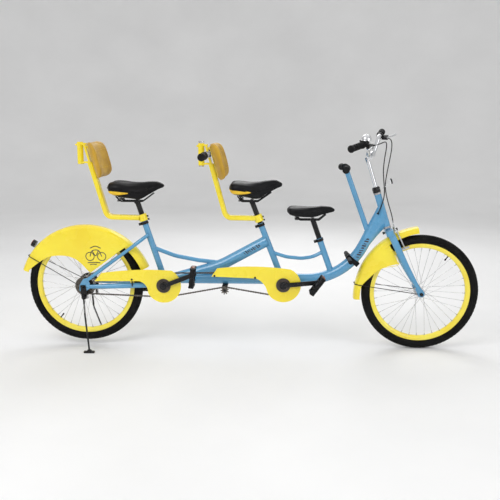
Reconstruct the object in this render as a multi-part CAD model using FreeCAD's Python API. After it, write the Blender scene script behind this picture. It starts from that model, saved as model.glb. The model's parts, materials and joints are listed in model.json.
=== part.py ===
"""Tandem bicycle for two adults and a child, in millimetres.

The model is built with the rear axle at x = 0, +X forwards, +Y to the left and the ground at z = 0.
The whole set is moved along X at the end, so that the origin is under the middle of its bounding box.
"""
import FreeCAD, Part
import math
import os

V = FreeCAD.Vector

# ---- wheels -------------------------------------------------------------------------------------
WHEEL_RADIUS = 303.5
TYRE_RADIUS = 25.0
TYRE_WALL = 3.5
RIM_OUTER = 262.0
RIM_INNER = 236.0
RIM_HALF_WIDTH = 15.0
WHEELBASE = 1758.0
REAR_LIFT = 24.0
SPOKES = 36
SPOKE_RADIUS = 1.0
SPOKE_LEAN = 50.0
FRONT_VALVE_ANGLE = 54.0
REAR_VALVE_ANGLE = 231.0
REAR_AXLE = V(0, 0, WHEEL_RADIUS + REAR_LIFT)
FRONT_AXLE = V(WHEELBASE, 0, WHEEL_RADIUS)
FRONT_HALF_SPAN = 50.0
REAR_HALF_SPAN = 66.0
REAR_HUB_SHIFT = 2.0
DROPOUT = 5.0
AXLE_RADIUS = 5.0
AXLE_END = 96.0
CONE_RADIUS = 7.0

# ---- frame --------------------------------------------------------------------------------------
REAR_BB = V(424, 0, 341)
FRONT_BB = V(1046, 0, 350)
BB_RADIUS = 20.0
BB_BORE = 17.4
BB_HALF_WIDTH = 34.0
MAIN_TUBE_RADIUS = 28.5
MAIN_TUBE_Z = 367.0
MAIN_CORNER = V(1362.6, 0, MAIN_TUBE_Z)
MAIN_BEND = 330.0
MAIN_SLOPE = 62.3
DIAGONAL_RADIUS = 29.0
TUBE_WALL = 1.8
SEAT_TUBE_RADIUS = 16.0
SEAT_TUBE_BORE = 13.7
HEAD_TILT = 17.86
HEAD_LOW = V(1576.4, 0, 652)
HEAD_LENGTH = 172.0
HEAD_RADIUS = 18.0
HEAD_BORE = 15.2
CUP_RADIUS = 19.5
STEERER_RADIUS = 12.7
STEERER_BORE = 11.15
QUILL_RADIUS = 11.1
BLADE_Y = 52.0
BLADE_RUN = V(0.449, 0, -0.893)
CALIPER_REACH = 32.0
SHOE_RADIUS = 251.5

# ---- seats: top of each seat tube, tilt from vertical, and height of the post above the tube -----
SEAT_TUBES = {
    "rear": {"foot": REAR_BB, "top_z": 670.0, "tilt": 17.8, "post_top": 770.0, "clear": 372.0},
    "middle": {"foot": FRONT_BB, "top_z": 663.0, "tilt": 21.2, "post_top": 772.0, "clear": 397.0},
    "child": {"foot": V(1303.5, 0, 382), "top_z": 586.0, "tilt": 19.8, "post_top": 678.0, "clear": 424.0},
}
POST_RADIUS = 13.6
POST_TRAVEL_UP = 40.0
POST_TRAVEL_DOWN = 30.0

# ---- drivetrain ---------------------------------------------------------------------------------
PITCH = 12.7
RING_TEETH = 32
FREEWHEEL_TEETH = 18
IDLER_TEETH = 9
SPOKE_GUARD_RADIUS = 50.0
IDLER = V(742, 0, 316)
DRIVE_Y = -52.0
TIMING_Y = -61.0
SPROCKET_THICKNESS = 2.8
CHAIN_HALF_HEIGHT = 4.1
CHAIN_GAP = 1.9
CHAIN_PLATE = 1.8
CRANK_LENGTH = 172.0
CRANK_Y = 82.0
REAR_CRANK_ANGLE = 21.6
FRONT_CRANK_ANGLE = 5.6
PEDAL_Y = 140.0
PEDAL_LENGTH = 104.0
PEDAL_WIDTH = 82.0
PEDAL_HEIGHT = 27.0
GUARD_Y = -70.0
GUARD_THICKNESS = 1.6
GUARD_DISC = 91.0

# ---- fenders ------------------------------------------------------------------------------------
FENDER_HALF_WIDTH = 36.0
FENDER_SKIN = 1.6
REAR_FENDER_CENTRE = V(5, 0, 291)
REAR_FENDER_RADIUS = 358.0
REAR_FENDER_START = 22.5
REAR_FENDER_SWEEP = 138.0
FRONT_FENDER_CENTRE = V(1790, 0, 277)
FRONT_FENDER_RADIUS = 377.0
FRONT_FENDER_START = 98.5
FRONT_FENDER_SWEEP = 83.0

# ---- bars ---------------------------------------------------------------------------------------
BAR_TURN = -24.0
BAR_RADIUS = 11.1
GRIP_RADIUS = 16.0
STEM_TOP_Z = 1002.0
STEM_BORE = 12.8
BAR_HEIGHT = 1094.0
BAR_HALF_WIDTH = 280.0
BAR_REACH = 24.0
BRACKET_Y = 142.0
STOKER_HALF_WIDTH = 285.0
CHILD_BAR_TOP = V(1362, 0, 938)
CHILD_BAR_RADIUS = 10.9

# ---- backrests: pads are pieces of a ring, leaned back ---------------------------------------------
BACKREST_CLAMP_Z = 688.0
SLEEVE_OFFSET = -52.0
SLEEVE_BORE = 13.0
PAD_CURVE = 190.0
PAD_THICKNESS = 28.0
PAD_HEIGHT = 196.0
PAD_HALF_WIDTH = 132.0
PAD_LEAN = 15.0
PAD_FRONT = 42.0
PAD_CENTRE_RISE = 22.0

# ---- saddles: x, half width, top and bottom of each cross-section, then the ends of the rails ------
SADDLES = {
    "rear": [(146, 62, 866, 838), (160, 88, 876, 820), (205, 98, 874, 806), (260, 84, 868, 796),
             (310, 52, 869, 790), (350, 34, 874, 812), (395, 24, 876, 836), (424, 14, 866, 846)],
    "middle": [(770, 62, 866, 838), (784, 88, 876, 822), (829, 98, 874, 812), (872, 84, 870, 802),
               (918, 52, 874, 794), (958, 34, 882, 818), (1003, 24, 887, 842), (1032, 14, 876, 852)],
    "child": [(1066, 44, 742, 722), (1080, 66, 750, 712), (1118, 72, 748, 706), (1162, 58, 745, 702),
              (1205, 38, 747, 702), (1248, 27, 752, 714), (1286, 20, 752, 722), (1304, 12, 744, 726)],
}
SADDLE_UNDER = {
    "rear": {"back": 186, "half": 52, "back_z": 803, "nose": 372, "nose_z": 816},
    "middle": {"back": 810, "half": 52, "back_z": 808, "nose": 980, "nose_z": 824},
    "child": {"back": 1110, "half": 34, "back_z": 703, "nose": 1262, "nose_z": 712},
}

# ---- rear brake ---------------------------------------------------------------------------------
DRUM_RADIUS = 41.0
BRAKE_COVER_RADIUS = 52.0
BRAKE_ARM_PIVOT = V(-27, 0, 280.7)

# ---- stand --------------------------------------------------------------------------------------
STAND_PIVOT = V(4, 0, 276)
STAND_PIVOT_Y = 80.0
STAND_FOOT = V(45, 0, 0)
STAND_FOOT_Y = 158.0
STAND_ROD = 4.5
STAND_PIN = 4.0

HEAD_AXIS = V(-math.sin(math.radians(HEAD_TILT)), 0, math.cos(math.radians(HEAD_TILT)))
SIDES = (-1, 1)


# ---- general shapes -----------------------------------------------------------------------------
def unit(vector):
    """A copy of the vector with length 1."""
    return vector * (1.0 / vector.Length)


def at(point, y):
    """The same place in side view, at another y."""
    return V(point.x, y, point.z)


def polar(centre, radius, degrees, y=0.0):
    """A point on a circle in the XZ plane; 0 degrees is forwards and 90 is up."""
    angle = math.radians(degrees)
    return V(centre.x + radius * math.cos(angle), y, centre.z + radius * math.sin(angle))


def cylinder(start, end, radius):
    """A round bar between two points."""
    return Part.makeCylinder(radius, (end - start).Length, start, end - start)


def pipe(start, end, outer, inner):
    """A straight tube between two points."""
    return cylinder(start, end, outer).cut(cylinder(start, end, inner))


def cross_bar(centre, y_low, y_high, radius):
    """A round bar along Y through a side-view point."""
    return cylinder(at(centre, y_low), at(centre, y_high), radius)


def cross_ring(centre, y_low, y_high, outer, inner):
    """A ring or washer about an axis along Y."""
    return cross_bar(centre, y_low, y_high, outer).cut(cross_bar(centre, y_low - 1, y_high + 1, inner))


def free_bends(points):
    """The largest radius at each corner that its two runs leave room for."""
    bends = []
    for before, corner, after in zip(points, points[1:], points[2:]):
        reach = 0.45 * min((before - corner).Length, (after - corner).Length)
        bends.append(reach * math.tan((before - corner).getAngle(after - corner) / 2))
    return bends


def bent_path(points, bends):
    """Straight runs between the points, joined by tangent arcs of the given radii."""
    edges = []
    here = points[0]
    for before, corner, after, bend in zip(points, points[1:], points[2:], bends):
        back = unit(before - corner)
        ahead = unit(after - corner)
        half = back.getAngle(ahead) / 2
        reach = bend / math.tan(half)
        middle = corner + unit(back + ahead) * (bend / math.sin(half) - bend)
        edges.append(Part.LineSegment(here, corner + back * reach).toShape())
        edges.append(Part.Arc(corner + back * reach, middle, corner + ahead * reach).toShape())
        here = corner + ahead * reach
    edges.append(Part.LineSegment(here, points[-1]).toShape())
    return Part.Wire(edges)


def span(side, inner, outer):
    """The lower and upper y of a stretch between two distances out from the middle, on one side."""
    return sorted((side * inner, side * outer))


def swept(path, start, direction, radius):
    """A round bar along a path."""
    ring = Part.Wire([Part.makeCircle(radius, start, direction)])
    return path.makePipeShell([ring], True, False)


def bent_rod(points, radius, bend):
    """A round bar along straight runs with bends of one radius."""
    bends = [bend] * (len(points) - 2)
    return swept(bent_path(points, bends), points[0], points[1] - points[0], radius)


def cord(points, radius):
    """A round cord along straight runs with generous arcs."""
    return swept(bent_path(points, free_bends(points)), points[0], points[1] - points[0], radius)


def plate(points, y_low, y_high):
    """A flat plate with a straight-sided outline in the XZ plane."""
    corners = [V(x, y_low, z) for x, z in points]
    wire = Part.makePolygon(corners + corners[:1])
    return Part.Face(wire).extrude(V(0, y_high - y_low, 0))


def curved_plate(edges, y_low, y_high):
    """A flat plate with an outline of edges drawn in the plane y = 0."""
    face = Part.Face(Part.Wire(Part.__sortEdges__(edges)))
    face.translate(V(0, y_low, 0))
    return face.extrude(V(0, y_high - y_low, 0))


def turned_section(profile, centre):
    """A ring about the Y axis from a closed (radius, y) outline."""
    corners = [V(radius, y, 0) for radius, y in profile]
    face = Part.Face(Part.makePolygon(corners + corners[:1]))
    ring = face.revolve(V(0, 0, 0), V(0, 1, 0), 360)
    ring.translate(centre)
    return ring


def ellipse_wire(centre, normal, tall, wide):
    """An ellipse square to a normal in the XZ plane (or near it); its wide radius lies along Y."""
    upright = unit(normal.cross(V(0, 1, 0)))
    across = unit(normal.cross(upright))
    if tall > wide:
        curve = Part.Ellipse(centre + upright * tall, centre + across * wide, centre)
    else:
        curve = Part.Ellipse(centre + across * wide, centre + upright * tall, centre)
    return Part.Wire([curve.toShape()])


def rotated(shape, centre, axis, degrees):
    """A rotated copy of the shape."""
    copy = shape.copy()
    copy.rotate(centre, axis, degrees)
    return copy


def group(shapes):
    """Separate solids kept in one node."""
    solids = []
    for shape in shapes:
        solids.extend(shape.Solids)
    return Part.makeCompound(solids)


def without(shape, *cutters):
    """The shape with the cutters taken away."""
    for cutter in cutters:
        shape = shape.cut(cutter)
    return shape


def largest(shape):
    """The biggest solid of a shape."""
    return max(shape.Solids, key=lambda solid: solid.Volume)


def outermost(shape):
    """The solid of a shape that reaches furthest to the right of the bicycle."""
    return min(shape.Solids, key=lambda solid: solid.BoundBox.YMin)


# ---- places that several parts share ------------------------------------------------------------
def head_point(distance):
    """A point on the steering axis, measured up from the foot of the head tube."""
    return HEAD_LOW + HEAD_AXIS * distance


def head_point_at_z(z):
    """The point on the steering axis at a height."""
    return head_point((z - HEAD_LOW.z) / HEAD_AXIS.z)


def seat_axis(name):
    """The direction up a seat tube."""
    tilt = math.radians(SEAT_TUBES[name]["tilt"])
    return V(-math.sin(tilt), 0, math.cos(tilt))


def seat_point(name, z):
    """The point on a seat tube's axis at a height."""
    foot = SEAT_TUBES[name]["foot"]
    axis = seat_axis(name)
    return foot + axis * ((z - foot.z) / axis.z)


def sprocket_radius(teeth):
    """The pitch radius of a sprocket."""
    return PITCH / (2 * math.sin(math.pi / teeth))


def bar_group(shapes):
    """Shapes drawn straight ahead, turned with the stem about the steering axis."""
    return [rotated(shape, HEAD_LOW, HEAD_AXIS, BAR_TURN) for shape in shapes]


# ---- frame --------------------------------------------------------------------------------------
def head_tube():
    """The tube that the fork turns in."""
    return pipe(HEAD_LOW, head_point(HEAD_LENGTH), HEAD_RADIUS, HEAD_BORE)


def bb_solids():
    """The outer cylinders of both bottom bracket shells."""
    return [cross_bar(bb, -BB_HALF_WIDTH, BB_HALF_WIDTH, BB_RADIUS) for bb in (REAR_BB, FRONT_BB)]


def bottom_bracket_shells():
    """The two short tubes that hold the crank bearings."""
    shells = []
    for bb in (REAR_BB, FRONT_BB):
        shells.append(cross_ring(bb, -BB_HALF_WIDTH, BB_HALF_WIDTH, BB_RADIUS, BB_BORE))
    return group(shells)


def main_tube_solid(radius):
    """The curved backbone, filled: a bent round tube that grows taller where it meets the head tube."""
    slope = math.radians(MAIN_SLOPE)
    rising = V(math.cos(slope), 0, math.sin(slope))
    start = V(REAR_BB.x, 0, MAIN_TUBE_Z)
    top = MAIN_CORNER + rising * 232
    tube = bent_rod([start, MAIN_CORNER, top], radius, MAIN_BEND)
    head = head_point_at_z(713)
    inset = MAIN_TUBE_RADIUS - radius
    middle = top + (head - top) * 0.55
    ahead = V(HEAD_AXIS.z, 0, -HEAD_AXIS.x)
    first = ellipse_wire(top - rising * 4, rising, radius + 0.5, radius + 0.4)
    second = ellipse_wire(middle, rising + ahead, 41 - inset, 26.5 - inset)
    third = ellipse_wire(head, ahead, 64 - inset, 23 - inset)
    flare = Part.makeLoft([first, second, third], True, False)
    return tube.fuse(flare)


def main_tube():
    """The backbone from the head tube down and back to the rear bottom bracket."""
    hollow = main_tube_solid(MAIN_TUBE_RADIUS).cut(main_tube_solid(MAIN_TUBE_RADIUS - TUBE_WALL))
    head = cylinder(head_point(-30), head_point(HEAD_LENGTH + 30), HEAD_RADIUS)
    past_head = cylinder(head_point(-30), head_point(HEAD_LENGTH + 30), HEAD_BORE)
    past_head.translate(V(14, 0, 0))
    lower_cup = cylinder(head_point(-30), HEAD_LOW, CUP_RADIUS + 0.1)
    return group([largest(without(hollow, head, past_head, lower_cup, *bb_solids()))])


def diagonal_points():
    """The line of the oversized tube from the middle seat tube down to the rear bottom bracket."""
    return [seat_point("middle", 571), V(716, 0, 437), REAR_BB + V(10, 0, 14)]


def diagonal_tube_solid(radius):
    """The oversized diagonal tube, filled."""
    return bent_rod(diagonal_points(), radius, 420)


def diagonal_tube():
    """The tube from the middle seat tube down to the rear bottom bracket."""
    hollow = diagonal_tube_solid(DIAGONAL_RADIUS).cut(diagonal_tube_solid(DIAGONAL_RADIUS - TUBE_WALL))
    return group([largest(without(hollow, seat_tube_solid("middle"), seat_tube_solid("rear"),
                                  main_tube_solid(MAIN_TUBE_RADIUS), *bb_solids()))])


def seat_tube_solid(name):
    """One seat tube, filled."""
    data = SEAT_TUBES[name]
    return cylinder(data["foot"], seat_point(name, data["top_z"]), SEAT_TUBE_RADIUS)


def seat_tubes():
    """The three tubes that hold the seat posts."""
    tubes = []
    for name in SEAT_TUBES:
        data = SEAT_TUBES[name]
        bore = cylinder(seat_point(name, data["clear"]), seat_point(name, data["top_z"] + 5), SEAT_TUBE_BORE)
        slot_low = seat_point(name, data["top_z"] - 32)
        slot = Part.makeBox(60, 2.0, 60, V(slot_low.x - 60, -1.0, slot_low.z))
        tube = without(seat_tube_solid(name), bore, slot, main_tube_solid(MAIN_TUBE_RADIUS), *bb_solids())
        tubes.append(largest(tube))
    return group(tubes)


def link_tube_solids(inset=0.0):
    """The two thin sagging tubes that tie the seat tubes together, filled."""
    front = [seat_point("middle", 510), V(1060, 0, 486), V(1140, 0, 478), V(1200, 0, 487),
             seat_point("child", 516)]
    rear = [seat_point("rear", 530), V(478, 0, 487), V(600, 0, 464), V(716, 0, 452)]
    return [bent_rod(front, 9.5 - inset, 160), bent_rod(rear, 11.0 - inset, 250)]


def link_tubes():
    """The two thin sagging tubes, cut to fit against their neighbours."""
    cutters = [seat_tube_solid("rear"), seat_tube_solid("middle"), seat_tube_solid("child"),
               diagonal_tube_solid(DIAGONAL_RADIUS)]
    tubes = []
    for outer, inner in zip(link_tube_solids(), link_tube_solids(1.6)):
        tubes.append(largest(without(outer, inner, *cutters)))
    return group(tubes)


def seat_stay(side, radius=9.0):
    """One seat stay, from the rear seat tube down to its dropout."""
    top = seat_point("rear", 600)
    points = [at(top, side * 21), V(286, side * 50, 559), V(16, side * 66, 361)]
    return bent_rod(points, radius, 60)


def chain_stay(side, inset=0.0):
    """One chain stay, flattened beside the chainrings; an inset gives its hollow."""
    stations = [(412, 23, 337, 14.0, 7.5), (366, 33, 337, 14.0, 7.5), (290, 45, 336, 14.0, 9.0),
                (18, 66, 330, 9.5, 6.5)]
    wires = []
    for x, y, z, tall, wide in stations:
        wires.append(ellipse_wire(V(x, side * y, z), V(1, 0, 0), tall - inset, wide - inset))
    return Part.makeLoft(wires, True, False)


def dropout(side):
    """The plate at one end of the rear axle that both stays are welded to."""
    low, high = span(side, REAR_HALF_SPAN, REAR_HALF_SPAN + DROPOUT)
    outline = [(-20, 312), (-17, 342), (2, 372), (22, 378), (36, 348), (34, 322), (12, 306), (-8, 302)]
    sheet = plate(outline, low, high)
    return sheet.cut(cross_bar(REAR_AXLE, low - 1, high + 1, AXLE_RADIUS + 0.05))


def rear_stays():
    """Seat stays, chain stays, two bridges and the dropouts."""
    solids = []
    seat = seat_tube_solid("rear")
    for side in SIDES:
        plate_solid = dropout(side)
        solids.append(plate_solid)
        upper = without(seat_stay(side), seat_stay(side, 7.4), seat, plate_solid)
        lower = without(chain_stay(side), chain_stay(side, 1.6), bb_solids()[0], plate_solid,
                        main_tube_solid(MAIN_TUBE_RADIUS), diagonal_tube_solid(DIAGONAL_RADIUS))
        solids.append(largest(upper))
        solids.append(largest(lower))
    stays = Part.makeCompound(solids)
    upper_bridge = cross_bar(V(300, 0, 569.4), -52, 52, 6.5).cut(stays)
    lower_bridge = cross_bar(V(348, 0, 337), -40, 40, 6.0).cut(stays)
    for bridge in (upper_bridge, lower_bridge):
        solids.append(largest(bridge))
    return group(solids)


def frame_bearings():
    """Headset cups and the bearing cups of both bottom brackets."""
    rings = []
    for low, high in ((-11, 0), (HEAD_LENGTH, HEAD_LENGTH + 9)):
        cup = pipe(head_point(low), head_point(high), CUP_RADIUS, STEERER_RADIUS + 0.4)
        rings.append(cup)
    for bb in (REAR_BB, FRONT_BB):
        for side in SIDES:
            low, high = span(side, 20.0, BB_HALF_WIDTH + 2.0)
            ring = cross_ring(bb, low, high, BB_BORE - 0.05, 8.6)
            rings.append(ring)
    return group(rings)


def frame_hardware():
    """Bolts, clamps, brackets and the rear axle: everything small that is fixed to the frame."""
    parts = [rear_axle(), tensioner_bracket()]
    parts.extend(seat_clamps())
    parts.extend(stand_brackets())
    parts.extend(guard_bolts())
    parts.extend(backrest_bolts())
    return group(parts)


def seat_clamps():
    """The split rings with a bolt at the top of each seat tube."""
    clamps = []
    for name in SEAT_TUBES:
        top = SEAT_TUBES[name]["top_z"]
        low = seat_point(name, top - 16)
        high = seat_point(name, top - 2)
        ring = pipe(low, high, SEAT_TUBE_RADIUS + 3.2, SEAT_TUBE_RADIUS)
        lug = Part.makeBox(15, 17, 13, V(-SEAT_TUBE_RADIUS - 15.5, -8.5, 1))
        lug.rotate(V(0, 0, 0), V(0, 1, 0), -SEAT_TUBES[name]["tilt"])
        lug.translate(low)
        lug = lug.cut(seat_tube_solid(name))
        bolt = cylinder(V(-24, -15, 7.5), V(-24, 15, 7.5), 4.0)
        bolt.rotate(V(0, 0, 0), V(0, 1, 0), -SEAT_TUBES[name]["tilt"])
        bolt.translate(low)
        clamps.append(ring.fuse(lug).fuse(bolt))
    return clamps


def rear_axle():
    """The rear axle with its cones and nuts."""
    parts = cross_bar(REAR_AXLE, -AXLE_END, AXLE_END, AXLE_RADIUS)
    for side in SIDES:
        for inner, outer, radius in ((52.0, REAR_HALF_SPAN, CONE_RADIUS), (75.0, 84.0, 9.5)):
            low, high = span(side, inner, outer)
            parts = parts.fuse(cross_bar(REAR_AXLE, low, high, radius))
    return parts


def tensioner_bracket():
    """The slotted plate under the backbone that carries the idler of the timing chain."""
    half = 14.0
    back = IDLER.x - half
    face = -56.2
    front = IDLER.x + half
    cheek = plate([(back, 308), (front, 308), (front, 345), (back, 345)], face, face + 4.2)
    arm = Part.makeBox(2 * half, 53, 6, V(back, face, 331))
    saddle = Part.makeBox(2 * half, 22, 10, V(back, -11, 331))
    pin = cross_bar(IDLER, -68.5, face + 4.2, 3.9)
    head = cross_bar(IDLER, -69.5, -66.5, 6.0)
    whole = cheek.fuse([arm, saddle, pin, head])
    return largest(whole.cut(main_tube_solid(MAIN_TUBE_RADIUS)))


def stand_brackets():
    """The plates on the rear axle that the stand turns on."""
    parts = []
    for side in SIDES:
        low, high = span(side, REAR_HALF_SPAN + DROPOUT, 75.0)
        outline = [(-14, 340), (14, 340), (20, 292), (16, 266), (-8, 266), (-12, 292)]
        sheet = plate(outline, low, high).cut(cross_bar(REAR_AXLE, low - 1, high + 1, AXLE_RADIUS))
        low, high = span(side, 75.0, 88.0)
        parts.append(sheet.fuse(cross_bar(STAND_PIVOT, low, high, STAND_PIN)))
    return parts


def guard_bolts():
    """The standoffs that hold both chainguards to the frame."""
    stay_point = V(258, -64, 336)
    guard_point = V(258, -64, 372)
    rear = cylinder(stay_point, guard_point, 3.0)
    rear = rear.fuse([cross_bar(stay_point, -66, -45, 3.0), cross_bar(guard_point, GUARD_Y, -61, 3.0)])
    stand_offs = [largest(rear.cut(chain_stay(-1)))]
    for x, z in ((690, 395.5), (900, 388)):
        tube = cross_bar(V(x, 0, z), GUARD_Y, -2, 3.5)
        tube = without(tube, main_tube_solid(MAIN_TUBE_RADIUS), diagonal_tube_solid(DIAGONAL_RADIUS))
        stand_offs.append(outermost(tube))
    return stand_offs


def backrest_collar(name):
    """The clamp of one backrest around its seat post, filled."""
    low = seat_point(name, BACKREST_CLAMP_Z - 16)
    high = seat_point(name, BACKREST_CLAMP_Z + 18)
    return cylinder(low, high, 23.0)


def backrest_bolts():
    """Two clamp bolts in front of each backrest clamp."""
    bolts = []
    for name in ("rear", "middle"):
        for offset in (-7, 9):
            centre = seat_point(name, BACKREST_CLAMP_Z + offset)
            bolt = cylinder(centre + V(22, 0, 0), centre + V(31, 0, 0), 4.5)
            bolts.append(largest(bolt.cut(backrest_collar(name))))
    return bolts


# ---- guards and fenders -------------------------------------------------------------------------
def rear_chainguard():
    """The keyhole-shaped plate over the rear chainring and the top run of the drive chain."""
    disc = polar(REAR_BB, GUARD_DISC, 62, GUARD_Y)
    nose = polar(REAR_BB, GUARD_DISC, 0, GUARD_Y)
    low = polar(REAR_BB, GUARD_DISC, 205, GUARD_Y)
    bottom = polar(REAR_BB, GUARD_DISC, 270, GUARD_Y)
    shoulder = V(296, GUARD_Y, 364)
    edges = [
        Part.LineSegment(V(62, GUARD_Y, 362), V(100, GUARD_Y, 406)).toShape(),
        Part.Arc(V(100, GUARD_Y, 406), V(290, GUARD_Y, 424), disc).toShape(),
        Part.Arc(disc, nose, bottom).toShape(),
        Part.Arc(bottom, polar(REAR_BB, GUARD_DISC, 235, GUARD_Y), low).toShape(),
        Part.Arc(low, V(326, GUARD_Y, 347), shoulder).toShape(),
        Part.LineSegment(shoulder, V(62, GUARD_Y, 362)).toShape(),
    ]
    return guard_shell(edges, REAR_BB)


def front_chainguard():
    """The keyhole-shaped plate over the front chainring and the top run of the timing chain."""
    disc = polar(FRONT_BB, GUARD_DISC, 66, GUARD_Y)
    nose = polar(FRONT_BB, GUARD_DISC, 0, GUARD_Y)
    low = polar(FRONT_BB, GUARD_DISC, 205, GUARD_Y)
    bottom = polar(FRONT_BB, GUARD_DISC, 270, GUARD_Y)
    shoulder = V(905, GUARD_Y, 384)
    edges = [
        Part.LineSegment(V(674, GUARD_Y, 392), V(704, GUARD_Y, 436)).toShape(),
        Part.Arc(V(704, GUARD_Y, 436), V(900, GUARD_Y, 447), disc).toShape(),
        Part.Arc(disc, nose, bottom).toShape(),
        Part.Arc(bottom, polar(FRONT_BB, GUARD_DISC, 235, GUARD_Y), low).toShape(),
        Part.Arc(low, V(937, GUARD_Y, 363), shoulder).toShape(),
        Part.LineSegment(shoulder, V(674, GUARD_Y, 392)).toShape(),
    ]
    return guard_shell(edges, FRONT_BB)


def guard_shell(edges, bracket):
    """A pressed plate with a hole for the crank."""
    face = Part.Face(Part.Wire(Part.__sortEdges__(edges)))
    sheet = face.extrude(V(0, -GUARD_THICKNESS, 0))
    hole = cross_bar(bracket, GUARD_Y - 5, GUARD_Y + 5, 22.0)
    return sheet.cut(hole)


def chainguards():
    """Both chainguards."""
    return group([rear_chainguard(), front_chainguard()])


def fender_channel(centre, radius, start, sweep, depth):
    """A U-shaped channel swept about a centre, from a start angle and over a sweep angle."""
    half = FENDER_HALF_WIDTH
    skin = FENDER_SKIN
    drop = 14.0
    crown = radius - 5
    profile = [
        V(radius - depth, -half, 0), V(radius - drop, -half, 0), V(crown, -half + 9, 0),
        V(radius, -half + 22, 0), V(radius, half - 22, 0), V(crown, half - 9, 0),
        V(radius - drop, half, 0), V(radius - depth, half, 0),
        V(radius - depth, half - skin, 0), V(radius - drop - 1, half - skin, 0),
        V(crown - skin, half - 9 - skin * 0.7, 0), V(radius - skin, half - 22, 0),
        V(radius - skin, -half + 22, 0), V(crown - skin, -half + 9 + skin * 0.7, 0),
        V(radius - drop - 1, -half + skin, 0), V(radius - depth, -half + skin, 0),
    ]
    face = Part.Face(Part.makePolygon(profile + profile[:1]))
    channel = face.revolve(V(0, 0, 0), V(0, 1, 0), -sweep)
    channel.rotate(V(0, 0, 0), V(0, 1, 0), -start)
    channel.translate(centre)
    return channel


def rear_fender():
    """The rear fender: a long narrow channel with a coat guard on both sides behind the seat stays."""
    place = (REAR_FENDER_CENTRE, REAR_FENDER_RADIUS, REAR_FENDER_START, REAR_FENDER_SWEEP)
    channel = fender_channel(*place, 36)
    deep = fender_channel(*place, 300)
    inner = [(-306, 398), (-233, 457), (-180, 484), (-110, 490), (-55, 478), (-14, 449), (30, 402)]
    curve = Part.BSplineCurve()
    curve.interpolate([V(x, 0, z) for x, z in inner])
    edges = [curve.toShape()]
    outline = [(30, 402), (44, 408), (312, 604), (312, 700), (-360, 700), (-360, 340), (-306, 398)]
    for begin, end in zip(outline, outline[1:]):
        edges.append(Part.LineSegment(V(begin[0], 0, begin[1]), V(end[0], 0, end[1])).toShape())
    window = curved_plate(edges, -60, 60)
    return channel.fuse(deep.common(window)).removeSplitter()


def front_fender():
    """The front fender: a channel that stands off the tyre, with side skirts behind the fork."""
    place = (FRONT_FENDER_CENTRE, FRONT_FENDER_RADIUS, FRONT_FENDER_START, FRONT_FENDER_SWEEP)
    channel = fender_channel(*place, 30)
    deep = fender_channel(*place, 300)
    inner = [(1442, 282), (1452, 341), (1494, 388), (1530, 421), (1566, 440), (1640, 459)]
    curve = Part.BSplineCurve()
    curve.interpolate([V(x, 0, z) for x, z in inner])
    edges = [curve.toShape()]
    outline = [(1640, 459), (1560, 615), (1560, 700), (1380, 700), (1380, 282), (1442, 282)]
    for begin, end in zip(outline, outline[1:]):
        edges.append(Part.LineSegment(V(begin[0], 0, begin[1]), V(end[0], 0, end[1])).toShape())
    window = curved_plate(edges, -60, 60)
    return channel.fuse(deep.common(window)).removeSplitter()


def wire_stay(tips, axle_point, wrap_point, foot_y):
    """A wire that runs from one end of an axle, over a fender, to the other end of the axle."""
    half = FENDER_HALF_WIDTH + 2.2
    points = [at(axle_point, -foot_y), at(tips, -half), at(wrap_point, -half + 14),
              at(wrap_point, half - 14), at(tips, half), at(axle_point, foot_y)]
    return bent_rod(points, 2.0, 5)


def rear_fender_fittings():
    """The rear fender's wire stay, its eyelets and the red reflector with its housing."""
    tips = polar(REAR_FENDER_CENTRE, REAR_FENDER_RADIUS - 14, 146.7)
    wrap = polar(REAR_FENDER_CENTRE, REAR_FENDER_RADIUS + 2.2, 147)
    stay = wire_stay(tips, V(-26, 0, 340), wrap, 69)
    stay = stay.cut(rear_fender_envelope())
    reflector = cylinder(V(-262, 0, 541.5), V(-279, 0, 551), 19.0)
    reflector = reflector.cut(rear_fender_envelope())
    return group([largest(stay), largest(reflector)])


def rear_fender_envelope():
    """The fender's outer skin as a slightly larger channel, for cutting what sits on it."""
    return fender_channel(REAR_FENDER_CENTRE, REAR_FENDER_RADIUS + 0.05, 18, 152, 300)


def front_fender_stays():
    """The front fender's wire stay."""
    tips = polar(FRONT_FENDER_CENTRE, FRONT_FENDER_RADIUS - 14, 169)
    wrap = polar(FRONT_FENDER_CENTRE, FRONT_FENDER_RADIUS + 2.2, 169.2)
    stay = wire_stay(tips, V(1738, 0, 306), wrap, 57.2)
    envelope = fender_channel(FRONT_FENDER_CENTRE, FRONT_FENDER_RADIUS + 0.05, 95, 90, 300)
    return group([largest(stay.cut(envelope))])


# ---- backrests, bars and small fittings ---------------------------------------------------------
def backrest_line(name):
    """The side-view points of one backrest post: clamp, bend and top."""
    return {
        "rear": [V(296, 0, 688), V(127, 0, 692), V(50, 0, 968)],
        "middle": [V(901, 0, 689), V(747, 0, 691), V(674, 0, 962)],
    }[name]


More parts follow.
